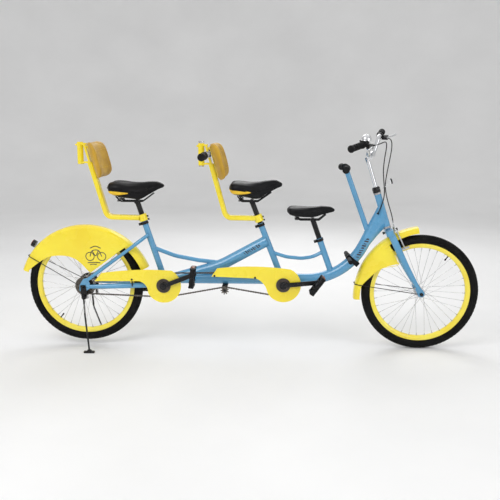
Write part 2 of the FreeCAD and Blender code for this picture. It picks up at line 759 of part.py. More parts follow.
def backrest_post(name):
    """A flat-oval post from the clamp, back and up, with the two-armed bracket behind the pad."""
    points = backrest_line(name)
    path = bent_path(points, [38])
    start = points[0]
    run = unit(points[1] - points[0])
    height, width, corner = 26.0, 46.0, 9.0
    wall = 1.8
    post = path.makePipeShell([rounded_profile(start, run, height, width, corner)], True, False)
    inside = rounded_profile(start, run, height - 2 * wall, width - 2 * wall, corner - wall)
    hollow = path.makePipeShell([inside], True, False)
    bore = cylinder(seat_point(name, BACKREST_CLAMP_Z - 40), seat_point(name, BACKREST_CLAMP_Z + 40), 14.0)
    top = points[2]
    rise = unit(points[2] - points[1])
    cap = Part.Face(rounded_profile(top, rise, height, width, corner)).extrude(rise * 5)
    spine = Part.makeBox(10, 40, 104, V(-5, -20, 2))
    spine.rotate(V(0, 0, 0), V(0, 1, 0), -math.degrees(math.atan2(-rise.x, rise.z)))
    spine.translate(top)
    sleeve_x = top.x + SLEEVE_OFFSET
    sleeve_low = V(sleeve_x, 0, top.z - 2)
    sleeve_high = V(sleeve_x, 0, top.z + 110)
    sleeve = cylinder(sleeve_low, sleeve_high, SLEEVE_BORE + 3.0)
    low_arm = Part.makeBox(top.x - sleeve_x + 6, 26, 9, V(sleeve_x, -13, top.z + 2))
    high_arm = Part.makeBox(top.x - sleeve_x - 18, 26, 9, V(sleeve_x, -13, top.z + 96))
    knob = cylinder(V(sleeve_x - 14, 0, top.z + 96), V(sleeve_x - 24, 0, top.z + 96), 5.0)
    extras = [backrest_collar(name), cap, spine, sleeve, low_arm, high_arm, knob, pad_backing(top, rise)]
    whole = post.cut(hollow).fuse(extras)
    hole = cylinder(sleeve_low - V(0, 0, 18), sleeve_high + V(0, 0, 20), SLEEVE_BORE)
    cutters = [bore, hole, backrest_pad(name)]
    if name == "middle":
        cutters.append(stoker_clamp_block())
    return largest(without(whole, *cutters))


def pad_backing(top, rise):
    """The plate behind a pad, on one boss from the post and one from the bracket."""
    parts = Part.makeBox(2.6, 52, 165, V(16.0, -26, -72))
    for height in (-55, 84):
        parts = parts.fuse(cylinder(V(0, 0, height), V(17, 0, height), 7.0))
    parts = parts.cut(Part.makeBox(12, 60, 200, V(-1, -30, -203)))
    parts.rotate(V(0, 0, 0), V(0, 1, 0), -math.degrees(math.atan2(-rise.x, rise.z)))
    parts.translate(top)
    return parts


def rounded_profile(start, normal, height, width, corner):
    """A rounded rectangle square to a direction in the XZ plane; its width lies along Y."""
    up = normal.cross(V(0, 1, 0))
    half_h = height / 2
    half_w = width / 2
    edges = []
    corners = []
    for h, w in ((1, 1), (-1, 1), (-1, -1), (1, -1)):
        centre = start + up * (h * (half_h - corner)) + V(0, w * (half_w - corner), 0)
        level = centre + up * (h * corner)
        beside = centre + V(0, w * corner, 0)
        middle = centre + unit(up * h + V(0, w, 0)) * corner
        edges.append(Part.Arc(level, middle, beside).toShape())
        corners.append((level, beside))
    for first, second, which in ((0, 1, 1), (1, 2, 0), (2, 3, 1), (3, 0, 0)):
        edges.append(Part.LineSegment(corners[first][which], corners[second][which]).toShape())
    return Part.Wire(Part.__sortEdges__(edges))


def backrest_posts():
    """Both backrest posts."""
    return group([backrest_post("rear"), backrest_post("middle")])


def backrest_pad(name):
    """A padded panel that curves forward at both sides."""
    top = backrest_line(name)[2]
    front = top + V(PAD_FRONT, 0, 0)
    outer = Part.makeCylinder(PAD_CURVE + PAD_THICKNESS, PAD_HEIGHT, V(0, 0, 0))
    inner = Part.makeCylinder(PAD_CURVE, PAD_HEIGHT + 2, V(0, 0, -1))
    wedge = Part.makeBox(400, PAD_HALF_WIDTH * 2, PAD_HEIGHT + 2, V(-400, -PAD_HALF_WIDTH, -1))
    pad = outer.cut(inner).common(wedge)
    pad = pad.makeFillet(9.0, pad.Edges)
    pad.translate(V(PAD_CURVE, 0, -PAD_HEIGHT / 2))
    pad.rotate(V(0, 0, 0), V(0, 1, 0), -PAD_LEAN)
    pad.translate(V(front.x, 0, top.z + PAD_CENTRE_RISE))
    return pad


def backrest_pads():
    """Both backrest pads."""
    return group([backrest_pad("rear"), backrest_pad("middle")])


def stoker_bar_centre():
    """Where the second rider's handlebar passes behind the middle pad."""
    top = backrest_line("middle")[2]
    return V(top.x + SLEEVE_OFFSET + 31, 0, top.z + 54)


def stoker_clamp_block():
    """The block between the sleeve and the bracket that grips the second rider's bar, filled."""
    top = backrest_line("middle")[2]
    back = top.x + SLEEVE_OFFSET + SLEEVE_BORE + 3.2
    return Part.makeBox(36, 42, 30, V(back, -21, stoker_bar_centre().z - 15))


def stoker_handlebar():
    """The second rider's straight bar, its clamp and the spigot in the bracket's sleeve."""
    centre = stoker_bar_centre()
    top = backrest_line("middle")[2]
    sleeve_x = top.x + SLEEVE_OFFSET
    bar = cross_ring(centre, -STOKER_HALF_WIDTH + 3, STOKER_HALF_WIDTH - 3, BAR_RADIUS, BAR_RADIUS - 1.8)
    clamp = stoker_clamp_block().cut(cross_bar(centre, -30, 30, BAR_RADIUS))
    spigot = cylinder(V(sleeve_x, 0, top.z - 8), V(sleeve_x, 0, top.z + 116), SLEEVE_BORE - 0.1)
    cap = cylinder(V(sleeve_x, 0, top.z + 116), V(sleeve_x, 0, top.z + 121), 15.0)
    return group([bar, clamp, spigot.fuse(cap)])


def grip(start, end, radius):
    """A rubber grip with a swollen end, filled."""
    run = unit(end - start)
    bead = cylinder(end - run * 12, end, radius + 2.0)
    return cylinder(start, end, radius).fuse(bead)


def passenger_grips():
    """The rubber grips of the second rider's bar and of the child's bar."""
    grips = []
    centre = stoker_bar_centre()
    child = CHILD_BAR_TOP + V(0, 0, 12)
    stoker_bar = cross_bar(centre, -STOKER_HALF_WIDTH + 3, STOKER_HALF_WIDTH - 3, BAR_RADIUS)
    for side in SIDES:
        inner = at(centre, side * (STOKER_HALF_WIDTH - 122))
        cover = grip(inner, at(centre, side * STOKER_HALF_WIDTH), 17.0)
        grips.append(cover.cut(stoker_bar))
        inner = at(child + V(-2.2, 0, -0.6), side * 40)
        cover = grip(inner, at(child + V(-14.2, 0, -4.1), side * 128), 16.0)
        grips.append(largest(cover.cut(child_bar(CHILD_BAR_RADIUS))))
    return group(grips)


def child_bar(radius):
    """The child's short cross bar, filled."""
    centre = CHILD_BAR_TOP + V(0, 0, 12)
    points = [at(centre + V(-14, 0, -4), -125), at(centre, -30), at(centre, 30),
              at(centre + V(-14, 0, -4), 125)]
    return bent_rod(points, radius, 60)


def child_handlebar():
    """The child's post, welded to the backbone, with its short cross bar."""
    foot = V(1479, 0, 622)
    post = pipe(foot, CHILD_BAR_TOP, 13.5, 11.5)
    bar = child_bar(CHILD_BAR_RADIUS)
    post = largest(without(post, main_tube_solid(MAIN_TUBE_RADIUS), bar))
    return group([post, bar.cut(child_bar(CHILD_BAR_RADIUS - 1.7))])


def child_footrest():
    """The clamp on the backbone with two rubber-covered pegs for the child's feet."""
    centre = V(1383, 0, 484)
    slope = V(1403, 0, 474)
    clamp = Part.makeBox(74, 74, 24, V(-37, -37, -12))
    clamp.rotate(V(0, 0, 0), V(0, 1, 0), -(MAIN_SLOPE - 12) + 90)
    clamp.translate(slope)
    clamp = clamp.cut(main_tube_solid(MAIN_TUBE_RADIUS))
    body = largest(clamp)
    pegs = []
    for side in SIDES:
        low, high = span(side, 36, 128)
        pegs.append(largest(cross_bar(centre, low, high, 11.0).cut(body)))
    return group([body] + pegs)


# ---- steering -----------------------------------------------------------------------------------
def fork_blade(side, inset=0.0):
    """One tapering fork blade; an inset gives its hollow."""
    wires = []
    stations = [(V(1586, 0, 626), 17.5, 11.5), (V(1619, 0, 562), 17.5, 11.5), (V(1663, 0, 473), 16.0, 11.0),
                (V(1707, 0, 393), 13.0, 9.5), (V(1746, 0, 327), 10.5, 8.0)]
    for index, (point, long_radius, short_radius) in enumerate(stations):
        near = stations[max(index - 1, 0)][0]
        far = stations[min(index + 1, len(stations) - 1)][0]
        run = unit(far - near)
        wires.append(ellipse_wire(at(point, side * BLADE_Y), run, long_radius - inset, short_radius - inset))
    return Part.makeLoft(wires, True, False)


def fork_crown():
    """The crown that joins the steerer to both blades."""
    crown = Part.makeBox(40, 2 * BLADE_Y, 26, V(-20, -BLADE_Y, -30))
    for side in SIDES:
        crown = crown.fuse(Part.makeCylinder(20, 26, V(0, side * BLADE_Y, -30)))
    crown.rotate(V(0, 0, 0), V(0, 1, 0), -HEAD_TILT)
    crown.translate(head_point(-14))
    return crown


def fork():
    """The steerer tube, crown, blades and front dropouts, welded into one piece."""
    steerer = cylinder(head_point(-18), head_point(HEAD_LENGTH + 26), STEERER_RADIUS)
    crown = fork_crown()
    parts = [crown]
    for side in SIDES:
        parts.append(fork_blade(side))
        low, high = span(side, FRONT_HALF_SPAN, FRONT_HALF_SPAN + DROPOUT)
        outline = [(1726, 330), (1748, 344), (1774, 312), (1774, 296), (1762, 288), (1744, 292)]
        parts.append(plate(outline, low, high))
    whole = steerer.fuse(parts)
    bore = cylinder(head_point(-60), head_point(HEAD_LENGTH + 40), STEERER_BORE)
    whole = without(whole, *[fork_blade(side, 1.8) for side in SIDES])
    holes = [cross_bar(FRONT_AXLE, -70, 70, 4.85), caliper_bolt(5.05)]
    gap = cross_bar(FRONT_AXLE, -FRONT_HALF_SPAN, FRONT_HALF_SPAN, 24.0)
    return largest(without(whole, bore, gap, *holes))


def caliper_direction():
    """The forward direction of the front brake's centre bolt."""
    return V(math.cos(math.radians(HEAD_TILT)), 0, math.sin(math.radians(HEAD_TILT)))


def caliper_pivot():
    """The middle of the front brake's centre bolt, just ahead of the crown."""
    return head_point(-31) + caliper_direction() * CALIPER_REACH


def caliper_bolt(radius):
    """The front brake's centre bolt through the crown."""
    ahead = caliper_direction()
    return cylinder(caliper_pivot() - ahead * (CALIPER_REACH + 25), caliper_pivot() + ahead * 15, radius)


def caliper_arm(side):
    """One arm of the side-pull front brake, with its shoe beside the rim."""
    ahead = caliper_direction()
    layer = ahead * (4.2 if side < 0 else -4.2)
    pivot = caliper_pivot() + layer
    down = BLADE_RUN
    points = [pivot + V(0, side * 4, 0), pivot + down * 2 + V(0, side * 34, 0),
              pivot + down * 34 + V(0, side * 45, 0), pivot + down * 70 + V(0, side * 45, 0),
              pivot + down * 104 + V(0, side * 31, 0)]
    arm = bent_rod(points, 4.0, 12)
    tail = cylinder(pivot, pivot + V(0, side * -24, 0) + HEAD_AXIS * 24, 3.6)
    eye = cylinder(pivot - ahead * 4.0, pivot + ahead * 4.0, 9.0)
    arm = arm.fuse([tail, eye]).cut(caliper_bolt(5.1))
    end = points[-1]
    radial = unit(end - FRONT_AXLE)
    shoe_centre = FRONT_AXLE + unit(V(radial.x, 0, radial.z)) * SHOE_RADIUS
    tangent = unit(V(radial.z, 0, -radial.x))
    shoe = Part.makeBox(52, 8, 10, V(-26, -4, -5))
    shoe.rotate(V(0, 0, 0), V(0, 1, 0), math.degrees(math.atan2(-tangent.z, tangent.x)))
    shoe.translate(at(shoe_centre, side * (RIM_HALF_WIDTH + 2.0 + 4.0)))
    stud = cylinder(at(shoe_centre, side * 22), at(shoe_centre, side * 38), 3.0)
    bridge = cylinder(end + V(0, side * 0.4, 0), at(shoe_centre, side * 31.6), 4.4)
    return group([largest(arm.fuse([bridge, stud, shoe]))])


def headset_nut():
    """The locknut on top of the steerer."""
    lower = pipe(head_point(HEAD_LENGTH + 10), head_point(HEAD_LENGTH + 34), 18.5, STEERER_RADIUS)
    upper = pipe(head_point(HEAD_LENGTH + 26.2), head_point(HEAD_LENGTH + 38), 17.0, QUILL_RADIUS + 0.3)
    return lower.fuse(upper)


def steering_hardware():
    """Headset nut, front axle with its nuts, and the brake bolt."""
    axle = cross_bar(FRONT_AXLE, -68, 68, AXLE_RADIUS - 0.25)
    for side in SIDES:
        low, high = span(side, 44.0, FRONT_HALF_SPAN)
        axle = axle.fuse(cross_bar(FRONT_AXLE, low, high, CONE_RADIUS))
        low, high = span(side, FRONT_HALF_SPAN + DROPOUT, 64.0)
        axle = axle.fuse(cross_bar(FRONT_AXLE, low, high, 9.0))
    ahead = caliper_direction()
    pivot = caliper_pivot()
    head = cylinder(pivot + ahead * 10, pivot + ahead * 16, 7.5)
    tail = cylinder(pivot - ahead * (CALIPER_REACH + 31), pivot - ahead * (CALIPER_REACH + 24), 7.5)
    return group([headset_nut(), axle, caliper_bolt(5.0).fuse([head, tail])])


def quill_stem():
    """The chromed stem with its bar clamp, expander bolt and wedge."""
    quill = cylinder(head_point(HEAD_LENGTH - 70), head_point_at_z(STEM_TOP_Z), QUILL_RADIUS)
    bolt_hole = cylinder(head_point(HEAD_LENGTH - 80), head_point_at_z(STEM_TOP_Z + 10), 4.2)
    clamp_centre = stem_clamp()
    neck = cylinder(head_point_at_z(STEM_TOP_Z - 14), clamp_centre, 12.5)
    clamp = cross_bar(clamp_centre, -22, 22, 17.0)
    stem = quill.fuse([neck, clamp]).cut(cross_bar(clamp_centre, -40, 40, STEM_BORE))
    stem = largest(stem.cut(bolt_hole))
    bolt = cylinder(head_point(HEAD_LENGTH - 74), head_point_at_z(STEM_TOP_Z + 4), 4.0)
    return group(bar_group([stem, bolt]))


def stem_clamp():
    """The centre of the handlebar clamp, with the bar straight ahead."""
    return head_point_at_z(1014) + V(BAR_REACH, 0, 0)


def bar_point(y):
    """A point on the outer, nearly straight part of the front handlebar."""
    fraction = (abs(y) - 100.0) / (BAR_HALF_WIDTH - 100.0)
    return V(stem_clamp().x + 14 - 34 * fraction, y, BAR_HEIGHT - 4 * fraction)


def bar_solid(radius):
    """The riser handlebar, filled and straight ahead."""
    centre = stem_clamp()
    points = [bar_point(-BAR_HALF_WIDTH + 3), bar_point(-100), at(centre, -44), at(centre, 44),
              bar_point(100), bar_point(BAR_HALF_WIDTH - 3)]
    return bent_rod(points, radius, 30)


def handlebar():
    """The riser handlebar of the front rider."""
    centre = stem_clamp()
    sleeve = pipe(at(centre, -26), at(centre, 26), STEM_BORE - 0.1, BAR_RADIUS)
    bar = bar_solid(BAR_RADIUS).fuse(sleeve).cut(bar_solid(BAR_RADIUS - 1.8))
    return group(bar_group([bar]))


def handlebar_grips():
    """The two rubber grips of the front handlebar."""
    grips = []
    for side in SIDES:
        cover = grip(bar_point(side * (BAR_HALF_WIDTH - 118)), bar_point(side * BAR_HALF_WIDTH), GRIP_RADIUS)
        grips.append(cover.cut(bar_solid(BAR_RADIUS)))
    return group(bar_group(grips))


def lever_pivot(side):
    """The pivot of one brake lever, with the bar straight ahead."""
    return bar_point(side * BRACKET_Y) + V(34, side * 6, -8)


def cable_exit(side):
    """Where the cable leaves one brake lever's bracket, with the bar straight ahead."""
    return bar_point(side * BRACKET_Y) + V(46, side * -26, -7)


def lever_bracket(side):
    """The band around the bar and the body that one brake lever turns in."""
    centre = bar_point(side * BRACKET_Y)
    band = cylinder(bar_point(side * (BRACKET_Y - 9)), bar_point(side * (BRACKET_Y + 9)), BAR_RADIUS + 5)
    body = Part.makeBox(30, 22, 22, centre + V(12, -11, -20))
    pivot = lever_pivot(side)
    slot = Part.makeBox(60, 60, 8.6, V(pivot.x - 11, pivot.y - side * 4 - 30, pivot.z - 4.3))
    pin = cylinder(pivot + V(0, 0, -11), pivot + V(0, 0, 11), 2.5)
    barrel = cylinder(centre + V(30, side * -10, -9), cable_exit(side), 3.6)
    body = body.cut(slot)
    return group([band.fuse([body, pin, barrel]).cut(bar_solid(BAR_RADIUS))])


def brake_lever(side):
    """One brake lever: a flat blade that follows the grip, with a ball end."""
    pivot = lever_pivot(side)
    knuckle = pivot + V(14, side * 26, 0)
    end = pivot + V(16, side * 118, -4)
    blade = bent_rod([pivot, knuckle, end], 4.1, 16)
    ball = Part.makeSphere(6.0, end)
    eye = cylinder(pivot + V(0, 0, -4), pivot + V(0, 0, 4), 6.5)
    lever = blade.fuse([ball, eye]).cut(cylinder(pivot + V(0, 0, -20), pivot + V(0, 0, 20), 2.55))
    return group(bar_group([lever]))


def bell():
    """The bell with its band around the bar."""
    seat = bar_point(-122)
    lift = BAR_RADIUS + 7
    band = cylinder(bar_point(-118), bar_point(-125.5), BAR_RADIUS + 3)
    post = cylinder(seat + V(0, 0, BAR_RADIUS), seat + V(0, 0, lift + 8), 5.0)
    base = seat + V(0, 0, lift)
    dome = Part.makeSphere(25.0, base, V(0, 0, 1), 0, 90, 360)
    roof = dome.cut(Part.makeSphere(23.4, base, V(0, 0, 1), 0, 90, 360))
    stalk = cylinder(base + V(0, 0, 6), base + V(0, 0, 24), 3.0)
    return band.fuse([post, stalk, roof]).cut(bar_solid(BAR_RADIUS))


def bar_fittings():
    """Brake lever brackets and the bell."""
    shapes = [lever_bracket(side) for side in SIDES]
    return group(bar_group(shapes + [bell()]))


def front_reflector():
    """The round front reflector on its wire bracket."""
    shell = cylinder(V(1583, 0, 880), V(1592, 0, 883), 13.0)
    nut_side = head_point(HEAD_LENGTH + 16) + V(15, 0, 2)
    wire = bent_rod([V(1583.4, 0, 872), V(1562, 0, 856), nut_side], 1.8, 8)
    return group([shell.fuse(largest(wire.cut(headset_nut())))])


# ---- wheels -------------------------------------------------------------------------------------
def tyre(axle, valve_angle):
    """A tyre with its inner tube and valve."""
    ring = WHEEL_RADIUS - TYRE_RADIUS
    outer = Part.makeTorus(ring, TYRE_RADIUS, axle, V(0, 1, 0))
    hollow = Part.makeTorus(ring, TYRE_RADIUS - TYRE_WALL, axle, V(0, 1, 0))
    bed = turned_section([(200, -13), (RIM_OUTER + 4, -13), (RIM_OUTER + 4, 13), (200, 13)], axle)
    carcass = without(outer, hollow, bed, rim_solid(axle))
    tube = Part.makeTorus(RIM_OUTER + 17.5, 16.5, axle, V(0, 1, 0))
    tube = tube.cut(Part.makeTorus(RIM_OUTER + 17.5, 15.3, axle, V(0, 1, 0)))
    stem = cylinder(polar(axle, 208, valve_angle), polar(axle, RIM_OUTER + 1.5, valve_angle), 3.0)
    return group([largest(carcass), tube.fuse(stem)])


def rim_profile():
    """The outside of the rim as radius and y."""
    half = RIM_HALF_WIDTH
    return [(RIM_OUTER, half), (RIM_OUTER, half - 1.8), (254, half - 1.8), (254, 1.8 - half),
            (RIM_OUTER, 1.8 - half), (RIM_OUTER, -half), (248, -half), (239, -11), (RIM_INNER, -6),
            (RIM_INNER, 6), (239, 11), (248, half)]


def rim_solid(axle):
    """The rim, filled."""
    return turned_section(rim_profile(), axle)


def rim(axle, valve_angle):
    """The double-walled rim with its valve hole."""
    inset = 1.8
    half = RIM_HALF_WIDTH - inset
    floor = RIM_INNER + inset
    channel = [(252.2, -half), (252.2, half), (248.6, half), (240.5, 9.6), (floor, 5.4), (floor, -5.4),
               (240.5, -9.6), (248.6, -half)]
    hole = cylinder(polar(axle, 200, valve_angle), polar(axle, 270, valve_angle), 3.3)
    return without(rim_solid(axle), turned_section(channel, axle), hole)


def spokes(axle, flange_y, flange_radius, y_shift, valve_angle):
    """Crossed spokes with their nipples, on both flanges, with the valve midway between two of them."""
    bars = []
    pitch = 360.0 / SPOKES
    for index in range(SPOKES):
        side = 1 if index % 2 else -1
        leading = 1 if (index // 2) % 2 else -1
        angle = valve_angle + (index + 0.5) * pitch
        hub_y = y_shift + side * flange_y + leading * 2.55
        rim_y = side * 2.2 + leading * 1.3
        start = polar(axle, flange_radius, angle + leading * SPOKE_LEAN, hub_y)
        end = polar(axle, RIM_INNER - 0.6, angle, rim_y)
        nipple = cylinder(end - unit(end - start) * 12, end, 2.1)
        bars.append(cylinder(start, end, SPOKE_RADIUS).fuse(nipple))
    return group(bars)


def front_spokes():
    """The spokes of the front wheel."""
    return spokes(FRONT_AXLE, 33.0, 20.5, 0.0, FRONT_VALVE_ANGLE)


def rear_spokes():
    """The spokes of the rear wheel."""
    return spokes(REAR_AXLE, 29.0, 26.0, REAR_HUB_SHIFT, REAR_VALVE_ANGLE)


def hub(axle, flange_y, flange_radius, body_radius, end_y, bore, y_shift):
    """A hub shell: a barrel with two flanges and a through bore, with its bearing balls."""
    profile = [(bore, -end_y), (body_radius + 2, -end_y), (body_radius + 2, -flange_y - 1.5),
               (flange_radius, -flange_y - 1.5), (flange_radius, -flange_y + 1.5),
               (body_radius + 4, -flange_y + 1.5), (body_radius, -flange_y + 8), (body_radius, flange_y - 8),
               (body_radius + 4, flange_y - 1.5), (flange_radius, flange_y - 1.5),
               (flange_radius, flange_y + 1.5), (body_radius + 2, flange_y + 1.5), (body_radius + 2, end_y),
               (bore, end_y)]
    return turned_section([(radius, y + y_shift) for radius, y in profile], axle)


def front_hub():
    """The front hub shell and its bearing balls."""
    shell = hub(FRONT_AXLE, 33.0, 23.0, 11.0, 40.0, 7.9, 0.0).cut(front_spokes())
    return group([shell] + bearing_balls(FRONT_AXLE, (-37.0, 37.0), 4.9))


def rear_hub():
    """The rear hub shell, its bearing balls and the brake drum on its left end."""
    shell = hub(REAR_AXLE, 29.0, 29.0, 17.0, 38.0, 8.2, REAR_HUB_SHIFT)
    outer = DRUM_RADIUS
    inner = outer - 2.5
    drum = turned_section([(18, 38), (outer, 38), (outer, 50), (inner, 50), (inner, 40.5), (18, 40.5)],
                          REAR_AXLE)
    shell = shell.fuse(drum).cut(rear_spokes())
    return group([shell] + bearing_balls(REAR_AXLE, (-30.0, 37.0), 5.1))


def bearing_balls(axle, places, shaft):
    """Rings of balls between a hub and its axle."""
    balls = []
    radius = 1.35
    for y in places:
        for index in range(9):
            balls.append(Part.makeSphere(radius, polar(axle, shaft + radius + 0.1, index * 40.0, y)))
    return balls


# ---- drivetrain ---------------------------------------------------------------------------------
def sprocket(centre, teeth, y, bore, phase):
    """A toothed disc with roller seats cut at the pitch radius."""
    pitch_radius = sprocket_radius(teeth)
    low = y - SPROCKET_THICKNESS / 2
    high = low + SPROCKET_THICKNESS
    disc = cross_bar(centre, low, high, pitch_radius + 2.8)
    seats = []
    for index in range(teeth):
        angle = phase + index * 360.0 / teeth
        seats.append(cross_bar(polar(centre, pitch_radius, angle), low - 1, high + 1, 4.1))
    seats.append(cross_bar(centre, low - 1, high + 1, bore))
    return disc.cut(Part.makeCompound(seats))


def chainring(centre, y):
    """A large chainring with five lightening holes."""
    ring = sprocket(centre, RING_TEETH, y, 17.0, 0.0)
    holes = [cross_bar(polar(centre, 40, 36 + 72 * index), y - 5, y + 5, 12.0) for index in range(5)]
    return without(ring, *holes)


def crank_arm(centre, angle, side):
    """One crank arm with its boss and pedal eye."""
    inner = side * (CRANK_Y - 7.5)
    outer = side * (CRANK_Y + 7.5)
    low = min(inner, outer)
    boss = cross_bar(centre, low, low + 15, 19.0)
    eye_centre = polar(centre, CRANK_LENGTH, angle)
    eye = cross_bar(eye_centre, low + 1, low + 14, 13.5)
    bar = Part.makeBox(CRANK_LENGTH, 11, 24, V(0, low + 2, -12))
    bar = bar.makeFillet(4.5, [edge for edge in bar.Edges if abs(edge.tangentAt(0).x) > 0.9])
    bar.rotate(V(0, 0, 0), V(0, 1, 0), -angle)
    bar.translate(V(centre.x, 0, centre.z))
    arm = boss.fuse([eye, bar]).cut(cross_bar(centre, -100, 100, 8.5))
    return arm


def crankset(centre, angle, ring_places):
    """Spindle, two crank arms, chainrings, dust cover and pedal spindles."""
    end = CRANK_Y + 7.5
    spindle = cross_bar(centre, -end, end, 8.5)
    parts = [spindle]
    for side in SIDES:
        direction = angle if side < 0 else angle + 180.0
        arm = crank_arm(centre, direction, side)
        eye = polar(centre, CRANK_LENGTH, direction)
        low = min(side * (CRANK_Y + 6.5), side * (PEDAL_Y + PEDAL_WIDTH / 2 + 3))
        axle = cross_bar(eye, low, low + PEDAL_Y + PEDAL_WIDTH / 2 + 3 - CRANK_Y - 6.5, 5.0)
        parts.append(arm.fuse(axle))
        nut_low = min(side * end, side * (end + 4))
        parts.append(cross_bar(centre, nut_low, nut_low + 4, 10.0))
    for y in ring_places:
        parts.append(chainring(centre, y))
    hub_low = min(ring_places) - 4
    spider = cross_ring(centre, hub_low, max(ring_places) + 4, 17.0, 8.5)
    cover = cross_ring(centre, -CRANK_Y + 7.5, -CRANK_Y + 8.5, 36.0, 8.5)
    post = cross_ring(centre, -CRANK_Y + 8.5, hub_low, 17.0, 8.5)
    parts.append(spider.fuse([cover, post]))
    return group(parts)


def pedal(centre, direction, side, tilt):
    """A platform pedal that turns on its spindle."""
    eye = polar(centre, CRANK_LENGTH, direction)
    low = side * PEDAL_Y - PEDAL_WIDTH / 2
    core = cross_bar(V(0, 0, 0), low + 1, low + PEDAL_WIDTH - 1, 9.5)
    frame_parts = []
    for y in (low, low + PEDAL_WIDTH - 9):
        bar = Part.makeBox(PEDAL_LENGTH, 9, PEDAL_HEIGHT, V(-PEDAL_LENGTH / 2, y, -PEDAL_HEIGHT / 2))
        frame_parts.append(bar)
    for x in (-PEDAL_LENGTH / 2, PEDAL_LENGTH / 2 - 11, -26, 17):
        bar = Part.makeBox(11 if abs(x) > 30 else 9, PEDAL_WIDTH, PEDAL_HEIGHT, V(x, low, -PEDAL_HEIGHT / 2))
        frame_parts.append(bar)
    body = core.fuse(frame_parts).removeSplitter()
    body = body.cut(cross_bar(V(0, 0, 0), low - 5, low + PEDAL_WIDTH + 5, 5.06))
    lamps = []
    for x in (-PEDAL_LENGTH / 2 - 3, PEDAL_LENGTH / 2):
        lamps.append(Part.makeBox(3, 46, 15, V(x, low + 18, -7.5)))
    shapes = []
    for shape in [body] + lamps:
        shape = rotated(shape, V(0, 0, 0), V(0, 1, 0), -tilt)
        shape.translate(V(eye.x, 0, eye.z))
        shapes.append(shape)
    return group(shapes)


def tangent_loop(circles, offset):
    """The outline of a belt about circles given as centre, radius and the side that it passes.

    The circles are taken in order, anticlockwise for outer ones; an inner one is passed the other way.
    """
    edges = []
    touches = []
    count = len(circles)
    for index in range(count):
        here, here_radius, here_turn = circles[index]
        there, there_radius, there_turn = circles[(index + 1) % count]
        a_radius = here_radius + here_turn * offset
        b_radius = there_radius + there_turn * offset
        line = there - here
        base = math.atan2(line.z, line.x)
        swing = math.asin((here_turn * a_radius - there_turn * b_radius) / line.Length)
        normal = base - math.pi / 2 + swing
        leave = V(here.x + here_turn * a_radius * math.cos(normal), 0,
                  here.z + here_turn * a_radius * math.sin(normal))
        arrive = V(there.x + there_turn * b_radius * math.cos(normal), 0,
                   there.z + there_turn * b_radius * math.sin(normal))
        touches.append((leave, arrive))
        edges.append(Part.LineSegment(leave, arrive).toShape())
    for index in range(count):
        centre, radius, turn = circles[index]
        arrive = touches[index - 1][1]
        leave = touches[index][0]
        middle_angle = arc_middle(centre, arrive, leave, turn)
        size = radius + turn * offset
        middle = polar(centre, size, middle_angle)
        edges.append(Part.Arc(arrive, middle, leave).toShape())
    return Part.Wire(Part.__sortEdges__(edges))


def arc_middle(centre, arrive, leave, turn):
    """The angle halfway round a circle from one touch point to the other, in the turn's direction."""
    first = math.degrees(math.atan2(arrive.z - centre.z, arrive.x - centre.x))
    last = math.degrees(math.atan2(leave.z - centre.z, leave.x - centre.x))
    sweep = (last - first) % 360.0 if turn > 0 else -((first - last) % 360.0)
    return first + sweep / 2


def chain(circles, y):
    """A closed chain as its two bands of side plates."""
    outer = Part.Face(tangent_loop(circles, CHAIN_HALF_HEIGHT))
    inner = Part.Face(tangent_loop(circles, -CHAIN_HALF_HEIGHT))
    band = outer.cut(inner)
    bands = []
    for low in (y - CHAIN_GAP - CHAIN_PLATE, y + CHAIN_GAP):
        copy = band.copy()
        copy.translate(V(0, low, 0))
        bands.append(copy.extrude(V(0, CHAIN_PLATE, 0)))
    return group(bands)


def drive_chain():
    """The chain from the rear crank to the freewheel."""
    small = sprocket_radius(FREEWHEEL_TEETH)
    return chain([(REAR_AXLE, small, 1), (REAR_BB, sprocket_radius(RING_TEETH), 1)], DRIVE_Y)


def timing_chain():
    """The chain between both cranks, lifted by the idler."""
    large = sprocket_radius(RING_TEETH)
    return chain([(REAR_BB, large, 1), (IDLER, sprocket_radius(IDLER_TEETH), -1), (FRONT_BB, large, 1)],
                 TIMING_Y)


def freewheel():
    """The freewheel body with its sprocket and the spoke guard disc."""
    cog = sprocket(REAR_AXLE, FREEWHEEL_TEETH, DRIVE_Y, 12.0, 0.0)
    core = cross_ring(REAR_AXLE, -56.0, -42.0, 20.0, 8.0)
    guard = cross_ring(REAR_AXLE, -42.0, -40.4, SPOKE_GUARD_RADIUS, 8.0)
    body = cog.fuse([core, guard]).cut(cross_bar(REAR_AXLE, -60, -40, 8.0))
    return group([body])


def tensioner_idler():
    """The toothed idler that lifts the lower run of the timing chain."""
    wheel = sprocket(IDLER, IDLER_TEETH, TIMING_Y, 4.0, 0.0)
    sleeve = cross_ring(IDLER, TIMING_Y - 4.5, TIMING_Y + 4.5, 8.0, 4.0)
    return group([wheel.fuse(sleeve)])


